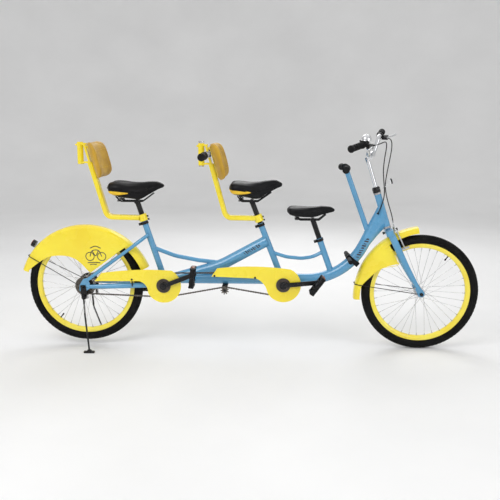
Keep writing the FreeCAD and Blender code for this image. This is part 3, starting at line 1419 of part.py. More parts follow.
# ---- rear brake, cables and stand ---------------------------------------------------------------
def band_brake():
    """The pressed cover of the rear band brake, the band inside it and the cable stop."""
    outer = BRAKE_COVER_RADIUS
    cover = turned_section([(CONE_RADIUS, 54.6), (outer, 54.6), (outer, 42), (outer - 1.6, 42),
                            (outer - 1.6, 53.0), (CONE_RADIUS, 53.0)], REAR_AXLE)
    lug = cross_bar(BRAKE_ARM_PIVOT, 50.6, 54.6, 9.0).cut(cross_bar(REAR_AXLE, 40, 60, outer - 1.6))
    cover = cover.fuse(lug).cut(cross_bar(BRAKE_ARM_PIVOT, 40, 60, 3.05))
    lining = cross_ring(REAR_AXLE, 42.5, 50, DRUM_RADIUS + 4, DRUM_RADIUS + 0.6)
    lining = lining.cut(Part.makeBox(30, 20, 12, V(-60, 40, REAR_AXLE.z - 6)))
    stop = Part.makeBox(12, 10, 44, V(34, 44, REAR_AXLE.z - 66)).cut(cross_bar(REAR_AXLE, 40, 64, outer))
    return group([cover, lining, largest(stop)])


def band_brake_arm():
    """The arm that tightens the rear brake band."""
    axle_z = REAR_AXLE.z
    outline = [(-33, axle_z - 40), (-21, axle_z - 40), (-8, axle_z - 92), (-18, axle_z - 96)]
    arm = plate(outline, 57.0, 60.0)
    return group([arm.fuse(cross_bar(BRAKE_ARM_PIVOT, 50.5, 63.0, 3.0))])


def front_cable_points():
    """The route of the front brake's cable."""
    left = rotated_point(cable_exit(1))
    return [left, V(1583, 43, 1096), V(1590, 20, 1078), V(1588, 7, 1042), V(1579, 3, 990), V(1568, 2, 928),
            V(1560, 4, 865), V(1569, 12, 810), V(1588, 20, 750), V(1606, 26, 700), V(1612, 26, 664)]


def rear_cable_points():
    """The route of the rear brake's cable from its lever to the port in the backbone."""
    right = rotated_point(cable_exit(-1))
    return [right, V(1508, -133, 1074), V(1532, -110, 1084), V(1548, -80, 1080), V(1552, -56, 1052),
            V(1547, -40, 1003), V(1543, -31, 940), V(1550, -28, 872), V(1556, -24, 822), V(1548, -21, 768),
            V(1523, -27, 716)]


def rotated_point(point):
    """A point on the straight-ahead bar, turned with the stem."""
    turn = FreeCAD.Rotation(HEAD_AXIS, BAR_TURN)
    return HEAD_LOW + turn.multVec(point - HEAD_LOW)


def front_brake_cable():
    """The front brake's cable housing."""
    cable = cord(front_cable_points(), 2.5)
    return group([largest(without(cable, *bar_fittings().Solids))])


def rear_brake_cable():
    """The rear brake's cable housing, from the lever into the backbone."""
    cable = cord(rear_cable_points(), 2.5)
    return group([largest(without(cable, main_tube_solid(MAIN_TUBE_RADIUS), *bar_fittings().Solids))])


def stand_leg(side):
    """One leg of the two-legged stand, with its flat-bottomed foot."""
    foot = at(STAND_FOOT, side * STAND_FOOT_Y)
    low, high = span(side, 80, 86)
    eye = cross_ring(STAND_PIVOT, low, high, 11.0, STAND_PIN + 0.06)
    shank = bent_rod([at(STAND_PIVOT + V(0, 0, -9), side * 83), V(8, side * 88, 180),
                      foot + V(-3, -side * 3, 14)], STAND_ROD, 60)
    pad = Part.makeBox(54, 16, 9, foot + V(-30, -8, 0))
    upper = Part.makeBox(54, 16, 10, foot + V(-30, -8, 8.9))
    pad = pad.fuse(upper.common(cross_bar(foot + V(-3, 0, 2), foot.y - 20, foot.y + 20, 16)))
    low, high = span(side, 80, 92)
    spring_post = cross_bar(STAND_PIVOT + V(2, 0, -30), low, high, 3.5)
    leg = shank.fuse([eye, pad, spring_post])
    return largest(leg.cut(cross_bar(STAND_PIVOT, -120, 120, STAND_PIN + 0.06)))


def stand():
    """Both legs of the stand, which fold together."""
    return group([stand_leg(side) for side in SIDES])


# ---- seats --------------------------------------------------------------------------------------
def saddle(name):
    """A padded saddle as one closed form through rounded cross-sections."""
    stations = SADDLES[name]
    wires = []
    for x, half_width, top, bottom in stations:
        middle = (top + bottom) / 2
        outline = [(0, top - 4), (0.55, top), (0.92, top - 8), (1, middle), (0.8, bottom), (0, bottom + 3),
                   (-0.8, bottom), (-1, middle), (-0.92, top - 8), (-0.55, top)]
        points = [V(x, half_width * share, z) for share, z in outline]
        curve = Part.BSplineCurve()
        curve.interpolate(points, PeriodicFlag=True)
        wires.append(Part.Wire([curve.toShape()]))
    return group([Part.makeLoft(wires, True, False)])


def seatpost(name):
    """A seat post with its saddle clamp, rails and springs."""
    data = SEAT_TUBES[name]
    low = seat_point(name, data["clear"] + POST_TRAVEL_DOWN + 6)
    high = seat_point(name, data["post_top"])
    post = pipe(low, high, POST_RADIUS, POST_RADIUS - 2.2)
    clamp = cross_bar(high + seat_axis(name) * 4, -24, 24, 12.0)
    post = post.fuse(clamp)
    under = SADDLE_UNDER[name]
    for side in SIDES:
        rail = bent_rod([V(under["back"], side * under["half"], under["back_z"]),
                         V(under["back"] + 18, side * 21, high.z + 5),
                         V(high.x + 30, side * 21, high.z + 5),
                         V(under["nose"], side * 12, under["nose_z"])], 3.6, 12)
        post = post.fuse(rail)
    return group([largest(without(post, *saddle(name).Solids))])


def origin_shift():
    """How far the set moves along X, so that the origin is midway from fender tip to front tyre."""
    front = FRONT_AXLE.x + WHEEL_RADIUS
    rear = polar(REAR_FENDER_CENTRE, REAR_FENDER_RADIUS, REAR_FENDER_START + REAR_FENDER_SWEEP).x
    return V(-(front + rear) / 2, 0, 0)


def build_nodes():
    """Every node of the bicycle, by name."""
    nodes = {
        "head_tube": head_tube(),
        "main_tube": main_tube(),
        "diagonal_tube": diagonal_tube(),
        "seat_tubes": seat_tubes(),
        "link_tubes": link_tubes(),
        "rear_stays": rear_stays(),
        "bottom_bracket_shells": bottom_bracket_shells(),
        "frame_bearings": frame_bearings(),
        "frame_hardware": frame_hardware(),
        "child_handlebar": child_handlebar(),
        "child_footrest": child_footrest(),
        "passenger_grips": passenger_grips(),
        "rear_fender": rear_fender(),
        "rear_fender_fittings": rear_fender_fittings(),
        "chainguards": chainguards(),
        "backrest_posts": backrest_posts(),
        "backrest_pads": backrest_pads(),
        "stoker_handlebar": stoker_handlebar(),
        "drive_chain": drive_chain(),
        "timing_chain": timing_chain(),
        "band_brake": band_brake(),
        "band_brake_arm": band_brake_arm(),
        "rear_brake_cable": rear_brake_cable(),
        "fork": fork(),
        "quill_stem": quill_stem(),
        "handlebar": handlebar(),
        "handlebar_grips": handlebar_grips(),
        "bar_fittings": bar_fittings(),
        "front_reflector": front_reflector(),
        "front_fender": front_fender(),
        "front_fender_stays": front_fender_stays(),
        "front_brake_cable": front_brake_cable(),
        "steering_hardware": steering_hardware(),
        "right_brake_lever": brake_lever(-1),
        "left_brake_lever": brake_lever(1),
        "right_caliper_arm": caliper_arm(-1),
        "left_caliper_arm": caliper_arm(1),
        "front_tyre": tyre(FRONT_AXLE, FRONT_VALVE_ANGLE),
        "front_rim": rim(FRONT_AXLE, FRONT_VALVE_ANGLE),
        "front_spokes": front_spokes(),
        "front_hub": front_hub(),
        "rear_tyre": tyre(REAR_AXLE, REAR_VALVE_ANGLE),
        "rear_rim": rim(REAR_AXLE, REAR_VALVE_ANGLE),
        "rear_spokes": rear_spokes(),
        "rear_hub": rear_hub(),
        "freewheel": freewheel(),
        "tensioner_idler": tensioner_idler(),
        "rear_crankset": crankset(REAR_BB, REAR_CRANK_ANGLE, (DRIVE_Y, TIMING_Y)),
        "front_crankset": crankset(FRONT_BB, FRONT_CRANK_ANGLE, (TIMING_Y,)),
        "rear_right_pedal": pedal(REAR_BB, REAR_CRANK_ANGLE, -1, 84.0),
        "rear_left_pedal": pedal(REAR_BB, REAR_CRANK_ANGLE + 180, 1, 0.0),
        "front_right_pedal": pedal(FRONT_BB, FRONT_CRANK_ANGLE, -1, 53.5),
        "front_left_pedal": pedal(FRONT_BB, FRONT_CRANK_ANGLE + 180, 1, 0.0),
        "stand": stand(),
    }
    for name in SEAT_TUBES:
        nodes[name + "_seatpost"] = seatpost(name)
        nodes[name + "_saddle"] = saddle(name)
    return nodes


def main():
    """Builds every node, centres the set and writes one file per node."""
    os.makedirs("parts", exist_ok=True)
    shift = origin_shift()
    print("shift", round(shift.x, 3))
    for points in (front_cable_points(), rear_cable_points()):
        print("cable bends", [round(bend) for bend in free_bends(points)])
    for name, shape in build_nodes().items():
        shape.translate(shift)
        shape.exportStep("parts/" + name + ".step")
        print(name, len(shape.Solids), round(shape.Volume), shape.isValid())


if __name__ == "__main__":
    main()
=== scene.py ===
"""Looks for the tandem bicycle: materials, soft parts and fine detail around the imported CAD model.

Places are written in the bicycle's own millimetres (rear axle at x = 0, +X forwards, +Y to the left,
ground at z = 0) and turned into the row frame in metres by place().
"""
import json
import math
from bisect import bisect_left
from itertools import accumulate, groupby, product

import bmesh
import bpy
from mathutils import Matrix, Vector
from mathutils.bvhtree import BVHTree


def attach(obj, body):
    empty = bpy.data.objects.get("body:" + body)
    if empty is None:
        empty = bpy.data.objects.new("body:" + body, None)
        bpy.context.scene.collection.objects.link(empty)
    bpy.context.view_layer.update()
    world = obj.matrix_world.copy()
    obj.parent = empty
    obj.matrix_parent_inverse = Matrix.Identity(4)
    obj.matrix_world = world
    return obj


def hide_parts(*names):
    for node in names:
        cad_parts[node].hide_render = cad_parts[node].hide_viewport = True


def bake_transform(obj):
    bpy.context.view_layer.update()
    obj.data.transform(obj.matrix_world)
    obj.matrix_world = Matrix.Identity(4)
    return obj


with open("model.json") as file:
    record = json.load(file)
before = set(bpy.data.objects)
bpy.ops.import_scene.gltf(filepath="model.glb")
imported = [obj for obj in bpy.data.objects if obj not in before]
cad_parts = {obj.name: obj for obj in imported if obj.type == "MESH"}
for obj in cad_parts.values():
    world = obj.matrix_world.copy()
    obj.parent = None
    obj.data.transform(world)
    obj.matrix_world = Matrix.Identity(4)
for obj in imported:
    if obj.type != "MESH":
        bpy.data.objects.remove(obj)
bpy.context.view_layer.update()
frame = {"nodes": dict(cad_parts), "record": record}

SHIFT = -864.517
MM = 0.001
SIDES = (-1, 1)

WHEEL_RING = 278.5
TYRE_RADIUS = 25
TYRE_LEAN = 131
TREAD_STEPS = 8
TREAD_BLOCKS = 84
SPOKES = 36
AXLES = {"rear": (0, 327.5), "front": (1758, 303.5)}
VALVES = {"rear": 231, "front": 54}
REAR_BB = (424, 341)
FRONT_BB = (1046, 350)
IDLER = (742, 316)
CHAIN_PITCH = 12.7
PLATE_RADIUS = 4.05
PLATE_WAIST = 2.7
CHAINRING_PITCH = 64.8
SPROCKET_PITCH = 36.6
IDLER_PITCH = 18.6
CRANK_LENGTH = 172
PEDAL_Y = 140
HEAD_AXIS = Vector((-0.30669, 0, 0.95181))
HEAD_LOW = Vector((1576.4, 0, 652))
BAR_TURN = -24

SADDLES = {
    "rear": [(146, 62, 866, 838), (160, 88, 876, 820), (205, 98, 874, 806), (260, 84, 868, 796),
             (310, 52, 869, 790), (350, 34, 874, 812), (395, 24, 876, 836), (424, 14, 866, 846)],
    "middle": [(770, 62, 866, 838), (784, 88, 876, 822), (829, 98, 874, 812), (872, 84, 870, 802),
               (918, 52, 874, 794), (958, 34, 882, 818), (1003, 24, 887, 842), (1032, 14, 876, 852)],
    "child": [(1066, 44, 742, 722), (1080, 66, 750, 712), (1118, 72, 748, 706), (1162, 58, 745, 702),
              (1205, 38, 747, 702), (1248, 27, 752, 714), (1286, 20, 752, 722), (1304, 12, 744, 726)],
}
CLOTH_VOXEL = 5
CLOTH_SETTINGS = {"quality": 5, "use_pressure": True, "uniform_pressure_force": 3,
                  "tension_stiffness": 25, "compression_stiffness": 25, "bending_stiffness": 2}
CLOTH_CAP = 3.5
CLOTH_FRAMES = 14
SPRINGS = {"rear": (4, 779, 36, 11), "middle": (4, 782, 36, 11), "child": (6, 686, 24, 8.5)}
SADDLE_SKIN = 1
SEAM_LEVEL = 0.42
TRIM_CENTRES = {"rear": 212, "middle": 836}
TRIM_SWEEP = 118
SADDLE_OUTLINE = [(0, 1, -4), (0.55, 1, 0), (0.92, 1, -8), (1, 0.5, 0), (0.8, 0, 0), (0, 0, 3),
                  (-0.8, 0, 0), (-1, 0.5, 0), (-0.92, 1, -8), (-0.55, 1, 0)]
PYRAMID_PITCH = 3.4
STROKES = [[(34, 486), (46, 516), (80, 518), (96, 486)], [(46, 516), (64, 490), (80, 518)],
           [(36, 530), (64, 541), (92, 530)], [(20, 452), (40, 454), (66, 454), (88, 452)],
           [(32, 443), (50, 445), (68, 443)]]
BAR_COUNT = 9
BAR_SLANT = 0.35
PAD_SECTION = [(0.03, -12.5), (0.5, -12.5), (0.86, -12), (0.96, -9.5), (1, -5), (1, 4),
               (0.965, 9.5), (0.87, 12.2), (0.7, 13), (0.4, 13.2), (0.03, 13.2)]
BACKREST_TOPS = {"rear": (50, 968), "middle": (674, 962)}
FRONT_CABLE = [(1572.954, 67.533, 1098.031), (1583, 43, 1096), (1590, 20, 1078), (1588, 7, 1042),
               (1579, 3, 990), (1568, 2, 928), (1560, 4, 865), (1569, 12, 810), (1588, 20, 750),
               (1606, 26, 700), (1612, 26, 664)]
REAR_CABLE = [(1483.139, -144.409, 1069.091), (1508, -133, 1074), (1532, -110, 1084), (1548, -80, 1080),
              (1552, -56, 1052), (1547, -40, 1003), (1543, -31, 940), (1550, -28, 872), (1556, -24, 822),
              (1548, -21, 768), (1523, -27, 716)]


# ---- places ----
def place(x, y, z):
    """A point in the bicycle's millimetres as a row-frame point in metres."""
    return Vector(((x + SHIFT) * MM, y * MM, z * MM))


def polar(centre, radius, degrees, y=0):
    """A point in millimetres on a circle in side view; 0 degrees is forwards and 90 is up."""
    angle = math.radians(degrees)
    return Vector((centre[0] + radius * math.cos(angle), y, centre[1] + radius * math.sin(angle)))


def with_stem(point):
    """A point on the straight-ahead handlebar, turned with the stem, still in millimetres."""
    turn = Matrix.Rotation(math.radians(BAR_TURN), 4, HEAD_AXIS)
    return HEAD_LOW + turn @ (Vector(point) - HEAD_LOW)


def circle(centre, side, other, radius, count):
    """Points on a circle that is spanned by two unit vectors."""
    turns = (2 * math.pi * step / count for step in range(count))
    return [centre + (side * math.cos(angle) + other * math.sin(angle)) * radius for angle in turns]


def spline(points, steps, closed=False):
    """Points on a smooth line through the given ones."""
    knots = [Vector(point) for point in points]
    if closed:
        knots = [knots[-1], *knots, *knots[:2]]
    else:
        knots = [knots[0] * 2 - knots[1], *knots, knots[-1] * 2 - knots[-2]]
    result = []
    for a, b, c, d in zip(knots, knots[1:], knots[2:], knots[3:]):
        for t in (step / steps for step in range(steps)):
            result.append(0.5 * ((2 * b) + (c - a) * t + (2 * a - 5 * b + 4 * c - d) * t * t
                                 + (3 * b - a - 3 * c + d) * t ** 3))
    return result if closed else [*result, knots[-2]]


# ---- mesh work ----
class Geometry:
    """Vertices in metres and faces, gathered for one mesh."""

    def __init__(self):
        self.points = []
        self.faces = []

    def add(self, points, faces):
        """Adds a set of points with the faces between them."""
        base = len(self.points)
        self.points.extend(points)
        self.faces.extend([base + index for index in face] for face in faces)
        return self

    def tube(self, points, radius, sides=8, closed=False):
        """A round bar in millimetres along points; radius is one number or one for each point."""
        line = [Vector(point) for point in points]
        radii = radius if isinstance(radius, list) else [radius] * len(line)
        first, last = (line[-1], line[0]) if closed else (line[0], line[-1])
        rings = []
        normal = None
        for point, behind, ahead, size in zip(line, [first, *line], [*line[1:], last], radii):
            run = (ahead - behind).normalized()
            normal = run.orthogonal() if normal is None else normal - run * normal.dot(run)
            normal.normalize()
            rings.append(circle(point, normal, run.cross(normal), size, sides))
        return self.loft(rings, closed)

    def loft(self, rings, closed=False):
        """A skin over rings of points in millimetres, capped at the ends unless it is closed."""
        sides = len(rings[0])
        count = len(rings)
        points = [place(*point) for ring in rings for point in ring]
        faces = []
        slip = 0
        if closed:
            first = rings[0][0]
            slip = min(range(sides), key=lambda step: (rings[-1][step] - first).length)
        for index in range(count if closed else count - 1):
            after = (index + 1) % count
            turn = -slip if closed and after == 0 else 0
            for step in range(sides):
                following = (step + 1) % sides
                faces.append([index * sides + step, index * sides + following,
                              after * sides + (following + turn) % sides,
                              after * sides + (step + turn) % sides])
        if not closed:
            faces.append(list(range(sides - 1, -1, -1)))
            faces.append([(count - 1) * sides + step for step in range(sides)])
        return self.add(points, faces)

    def turned(self, profile, origin, axis, segments=32):
        """A turned shape from (radius, distance along the axis), closed at both ends."""
        axis = Vector(axis).normalized()
        side = axis.orthogonal().normalized()
        return self.loft([circle(Vector(origin) + axis * distance, side, axis.cross(side), radius, segments)
                          for radius, distance in profile])

    def box(self, low, high, transform):
        """A box between two corners in millimetres, moved by a matrix."""
        corners = [place(*(transform @ Vector(corner))) for corner in product(*zip(low, high))]
        return self.add(corners, [(0, 1, 3, 2), (4, 6, 7, 5), (0, 4, 5, 1), (2, 3, 7, 6), (0, 2, 6, 4),
                                  (1, 5, 7, 3)])


def mesh_from(name, geometry, bevel=0):
    """A Blender mesh with its faces turned outwards, and its edges rounded if asked."""
    mesh = bpy.data.meshes.new(name)
    mesh.from_pydata(geometry.points, [], geometry.faces)
    work = bmesh.new()
    work.from_mesh(mesh)
    if bevel:
        bmesh.ops.bevel(work, geom=work.edges[:], offset=bevel * MM, segments=2, affect="EDGES", profile=0.6)
    bmesh.ops.recalc_face_normals(work, faces=work.faces[:])
    work.to_mesh(mesh)
    work.free()
    return mesh


def linked(name, data):
    """A new object in the scene."""
    thing = bpy.data.objects.new(name, data)
    bpy.context.scene.collection.objects.link(thing)
    return thing


def piece(name, shape, material, body, replaced=(), slot=None, sharp=40, bevel=0):
    """A finished piece from a geometry or a mesh, with its shading, material and any body; its slot is looked
    up but not kept.
    """
    mesh = shape if isinstance(shape, bpy.types.Mesh) else mesh_from(name, shape, bevel)
    mesh.polygons.foreach_set("use_smooth", [True] * len(mesh.polygons))
    mesh.set_sharp_from_angle(angle=math.radians(sharp))
    mesh.materials.clear()
    mesh.materials.append(material)
    made = linked(name, mesh)
    slot or SLOTS[material.name]
    if replaced:
        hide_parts(*replaced)
    if body:
        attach(made, body)
    return made


def tree_of(thing):
    """A search tree of a mesh object, for finding points on its surface."""
    mesh = thing.data
    return BVHTree.FromPolygons([vertex.co for vertex in mesh.vertices],
                                [polygon.vertices for polygon in mesh.polygons])


def hit(tree, origin, direction):
    """Where a ray in millimetres meets a surface, with the outward normal, or None."""
    start = place(*origin)
    found, normal, _, _ = tree.ray_cast(start, Vector(direction).normalized(), 2)
    if found is None:
        return None
    point = Vector((found.x / MM - SHIFT, found.y / MM, found.z / MM))
    if normal.dot(Vector(direction)) > 0:
        normal = -normal
    return point, normal


# ---- materials ----
def shader_node(tree, kind, inputs=(), **settings):
    """A new node with its settings; each input is linked to a socket or set to a value."""
    made = tree.nodes.new("ShaderNode" + kind)
    for key, value in settings.items():
        setattr(made, key, value)
    for key, value in inputs:
        if isinstance(value, bpy.types.NodeSocket):
            tree.links.new(value, made.inputs[key])
        else:
            made.inputs[key].default_value = value
    return made


def texture(tree, kind, scale, stretch=(1, 1, 1)):
    """The grey output of a procedural texture in the piece's own coordinates."""
    coordinates = shader_node(tree, "TexCoord").outputs["Object"]
    mapping = shader_node(tree, "Mapping", [("Vector", coordinates), ("Scale", stretch)])
    inputs = [("Vector", mapping.outputs["Vector"]), ("Scale", scale)]
    if kind == "noise":
        return shader_node(tree, "TexNoise", [*inputs, ("Detail", 5)]).outputs["Fac"]
    feature = "DISTANCE_TO_EDGE" if kind == "cells" else "F1"
    return shader_node(tree, "TexVoronoi", inputs, feature=feature).outputs["Distance"]


def remapped(tree, value, low, high, to_low=0, to_high=1):
    """A grey value stretched from one range to another."""
    return shader_node(tree, "MapRange", enumerate((value, low, high, to_low, to_high))).outputs[0]


def mixed(tree, share, first, second):
    """Two colours mixed by a grey value; either may be a socket or a colour."""
    inputs = [(key, (*value, 1) if isinstance(value, tuple) else value)
              for key, value in ((6, first), (7, second))]
    return shader_node(tree, "Mix", [("Factor", share), *inputs], data_type="RGBA").outputs[2]


def worn_and_highlighted_edges(tree, radius):
    """A grey mask that is bright on sharp outer edges, broken up by noise; it marks worn edges, and on the
    blue and yellow paints a painted edge highlight.
    """
    rounded = shader_node(tree, "Bevel", [("Radius", radius * MM)], samples=4).outputs["Normal"]
    flat = shader_node(tree, "NewGeometry").outputs["Normal"]
    dot = shader_node(tree, "VectorMath", enumerate((rounded, flat)), operation="DOT_PRODUCT")
    edges = remapped(tree, dot.outputs["Value"], 0.97, 0.8)
    broken = remapped(tree, texture(tree, "noise", 160), 0.42, 0.62)
    return shader_node(tree, "Math", enumerate((edges, broken)), operation="MULTIPLY").outputs[0]


def surface(name, dark, light, patch, rough, bumps=(), edge_wear_and_highlight=None, stain=None, **sockets):
    """A material whose colour and roughness vary, with fine relief and, if asked, lightened edges (wear on
    dark parts, a painted highlight on the blue and yellow paints) and stains.
    """
    material = bpy.data.materials.new(name)
    material.use_nodes = True
    tree = material.node_tree
    shader = tree.nodes["Principled BSDF"]
    for key, value in sockets.items():
        shader.inputs[key.replace("_", " ")].default_value = value
    blotches = remapped(tree, texture(tree, "noise", patch), 0.32, 0.68)
    colour = mixed(tree, blotches, dark, light)
    if stain:
        spots = remapped(tree, texture(tree, "noise", stain[1]), 0.52, 0.78, 0, stain[2])
        colour = mixed(tree, spots, colour, stain[0])
    # Lighter colour on sharp edges: wear on the dark parts, a painted edge highlight on the blue and yellow
    # paints.
    if edge_wear_and_highlight:
        colour = mixed(tree, worn_and_highlighted_edges(tree, edge_wear_and_highlight[1]), colour, edge_wear_and_highlight[0])
    tree.links.new(colour, shader.inputs["Base Color"])
    smears = remapped(tree, texture(tree, "noise", patch * 2.3), 0.3, 0.7, *rough)
    tree.links.new(smears, shader.inputs["Roughness"])
    under = []
    for kind, scale, depth, strength, *stretch in bumps:
        height = texture(tree, kind, scale, *stretch)
        inputs = [("Strength", strength), ("Distance", depth * MM), ("Height", height), *under]
        under = [("Normal", shader_node(tree, "Bump", inputs).outputs["Normal"])]
    for key, normal in under:
        tree.links.new(normal, shader.inputs[key])
    return material


PEEL = ("noise", 420, 0.25, 0.12)
BRUSH = ("noise", 260, 0.12, 0.25, (1, 9, 1))
GRIT = ("noise", 1600, 0.15, 0.35)
PIMPLES = ("spots", 260, 0.4, 0.6)
GLOSS = {"Coat_Weight": 1, "Coat_Roughness": 0.04}
# The lighter blue on the edges is a painted edge highlight.
BLUE = surface("blue_enamel", (0.075, 0.285, 0.5), (0.11, 0.355, 0.6), 6, (0.16, 0.3), [PEEL],
               edge_wear_and_highlight=((0.3, 0.52, 0.74), 1.6), Coat_Weight=0.7, Coat_Roughness=0.06)
# The lighter yellow on the edges is a painted edge highlight.
YELLOW = surface("yellow_enamel", (0.9, 0.69, 0.016), (0.98, 0.82, 0.034), 5, (0.2, 0.34), [PEEL],
                 edge_wear_and_highlight=((0.99, 0.82, 0.3), 1.2), Coat_Weight=0.6, Coat_Roughness=0.08)
RIM_YELLOW = surface("rim_enamel", (0.93, 0.73, 0.045), (0.99, 0.86, 0.11), 9, (0.24, 0.4), [PEEL],
                     stain=((0.55, 0.4, 0.1), 22, 0.25), Coat_Weight=0.4, Coat_Roughness=0.12)
LEATHER = surface("mustard_leather", (0.46, 0.25, 0.012), (0.62, 0.37, 0.024), 16, (0.42, 0.6),
                  [("cells", 430, 0.3, 0.55), ("noise", 60, 0.8, 0.2)],
                  stain=((0.34, 0.17, 0.014), 7, 0.4), Sheen_Weight=0.05)
VINYL = surface("black_vinyl", (0.004, 0.004, 0.005), (0.009, 0.009, 0.01), 20, (0.34, 0.48),
                [("cells", 520, 0.22, 0.5), ("noise", 70, 0.6, 0.18)],
                Specular_IOR_Level=0.16)
TRIM = surface("yellow_vinyl", (0.8, 0.48, 0.014), (0.95, 0.62, 0.03), 26, (0.34, 0.5),
               [("cells", 520, 0.2, 0.45)], stain=((0.5, 0.28, 0.02), 34, 0.4))
TYRE = surface("tyre_rubber", (0.004, 0.004, 0.004), (0.009, 0.0087, 0.0084), 14, (0.62, 0.86), [GRIT],
               stain=((0.03, 0.028, 0.025), 38, 0.25), Specular_IOR_Level=0.12)
RUBBER = surface("grip_rubber", (0.005, 0.005, 0.006), (0.011, 0.011, 0.012), 30, (0.48, 0.7), [GRIT],
                 stain=((0.03, 0.028, 0.027), 60, 0.2), Specular_IOR_Level=0.16)
PLASTIC = surface("black_plastic", (0.005, 0.005, 0.006), (0.011, 0.011, 0.012), 24, (0.36, 0.54),
                  [("noise", 1100, 0.12, 0.3)], edge_wear_and_highlight=((0.07, 0.07, 0.07), 1),
                  Specular_IOR_Level=0.2)
BLACK_STEEL = surface("black_enamel", (0.005, 0.005, 0.006), (0.01, 0.01, 0.012), 12, (0.22, 0.4),
                      [PEEL], edge_wear_and_highlight=((0.14, 0.13, 0.12), 1), Specular_IOR_Level=0.3)
CHROME = surface("chrome", (0.62, 0.63, 0.65), (0.8, 0.81, 0.83), 10, (0.05, 0.17), [BRUSH],
                 stain=((0.45, 0.42, 0.38), 45, 0.25), Metallic=1)
STEEL = surface("zinc_steel", (0.36, 0.36, 0.37), (0.56, 0.56, 0.57), 30, (0.24, 0.42), [BRUSH],
                stain=((0.25, 0.2, 0.15), 60, 0.4), Metallic=1)
SPOKE = surface("spoke_steel", (0.5, 0.5, 0.51), (0.68, 0.68, 0.69), 30, (0.16, 0.34),
                [("noise", 900, 0.05, 0.2)], Metallic=1)
CHAIN = surface("chain_steel", (0.075, 0.068, 0.06), (0.2, 0.185, 0.165), 90, (0.28, 0.5), [GRIT],
                stain=((0.1, 0.055, 0.025), 70, 0.5), Metallic=1)
ALUMINIUM = surface("hub_aluminium", (0.52, 0.53, 0.54), (0.7, 0.71, 0.72), 24, (0.2, 0.38), [BRUSH],
                    Metallic=1)
CLEAR = surface("clear_lens", (0.7, 0.72, 0.74), (0.86, 0.88, 0.9), 60, (0.06, 0.16), [PIMPLES], **GLOSS)
RED = surface("red_lens", (0.3, 0.008, 0.008), (0.55, 0.016, 0.012), 60, (0.06, 0.16), [PIMPLES], **GLOSS)
AMBER = surface("amber_lens", (0.26, 0.07, 0.006), (0.4, 0.115, 0.008), 60, (0.08, 0.18), [PIMPLES], **GLOSS)
DECAL = surface("decal_ink", (0.012, 0.013, 0.018), (0.03, 0.032, 0.04), 40, (0.28, 0.42), [PEEL],
                Coat_Weight=0.5, Coat_Roughness=0.1)
COVER = surface("cover_plastic", (0.03, 0.022, 0.018), (0.07, 0.052, 0.042), 26, (0.3, 0.48),
                [("noise", 900, 0.12, 0.3)], edge_wear_and_highlight=((0.16, 0.13, 0.11), 0.9))

SLOT_MATERIALS = {
    "blue_paint": BLUE, "yellow_paint": YELLOW, "yellow_rim": RIM_YELLOW, "mustard_leather": LEATHER,
    "steel": STEEL, "black_rubber": RUBBER, "chrome": CHROME, "chain_steel": CHAIN,
    "black_plastic": PLASTIC, "clear_reflector": CLEAR, "aluminium": ALUMINIUM, "tyre": TYRE,
    "spoke_steel": SPOKE, "black_steel": BLACK_STEEL, "black_vinyl": VINYL,
}
SLOTS = {material.name: slot for slot, material in SLOT_MATERIALS.items()}
SLOTS.update({TRIM.name: "yellow_paint", DECAL.name: "black_plastic", COVER.name: "black_plastic",
              RED.name: "clear_reflector", AMBER.name: "clear_reflector"})


def paint_cad_nodes():
    """Gives every CAD node the material of its slot."""
    for entry in frame["record"]["subparts"]:
        thing = frame["nodes"][entry["node"]]
        thing.data.materials.clear()
        thing.data.materials.append(SLOT_MATERIALS[entry["material_slot"]])


# ---- soft parts ----
def evaluated_copy(thing):
    """The thing's mesh with its modifiers applied."""
    graph = bpy.context.evaluated_depsgraph_get()
    return bpy.data.meshes.new_from_object(thing.evaluated_get(graph))


def upholstered(name, geometry, material, body, node):
    """A padded piece: remeshed, puffed up by a short cloth simulation, smoothed and subdivided."""
    thing = linked(name, mesh_from(name, geometry))
    remesh = thing.modifiers.new("even", "REMESH")
    remesh.mode = "VOXEL"
    remesh.voxel_size = CLOTH_VOXEL * MM
    thing.data = evaluated_copy(thing)
    thing.modifiers.clear()
    puff_up(thing)
    smooth = thing.modifiers.new("smooth", "SMOOTH")
    smooth.iterations = 4
    smooth.factor = 0.5
    divide = thing.modifiers.new("divide", "SUBSURF")
    divide.levels = 1
    divide.render_levels = 1
    final = evaluated_copy(thing)
    bpy.data.objects.remove(thing)
    made = piece(name, final, material, body, [node], sharp=80)
    return made


def puff_up(thing):
    """Runs cloth with inner pressure for a few frames and keeps the result, within a cap."""
    rest = [vertex.co.copy() for vertex in thing.data.vertices]
    cloth = thing.modifiers.new("Cloth", "CLOTH")
    for key, value in CLOTH_SETTINGS.items():
        setattr(cloth.settings, key, value)
    cloth.settings.effector_weights.gravity = 0
    cloth.collision_settings.use_collision = False
    scene = bpy.context.scene
    for number in range(1, CLOTH_FRAMES + 1):
        scene.frame_set(number)
    puffed = evaluated_copy(thing)
    thing.modifiers.clear()
    for vertex, start, end in zip(thing.data.vertices, rest, puffed.vertices):
        move = end.co - start
        if move.length > CLOTH_CAP * MM:
            move *= CLOTH_CAP * MM / move.length
        vertex.co = start + move
    bpy.data.meshes.remove(puffed)
    scene.frame_set(1)


def saddle_places(stations, steps):
    """Smooth places along a saddle, each as x, half width, top and bottom."""
    widths = spline([Vector((x, half, 0)) for x, half, _, _ in stations], steps)
    heights = spline([Vector((top, bottom, 0)) for _, _, top, bottom in stations], steps)
    return [(width.x, width.y, height.x, height.y) for width, height in zip(widths, heights)]


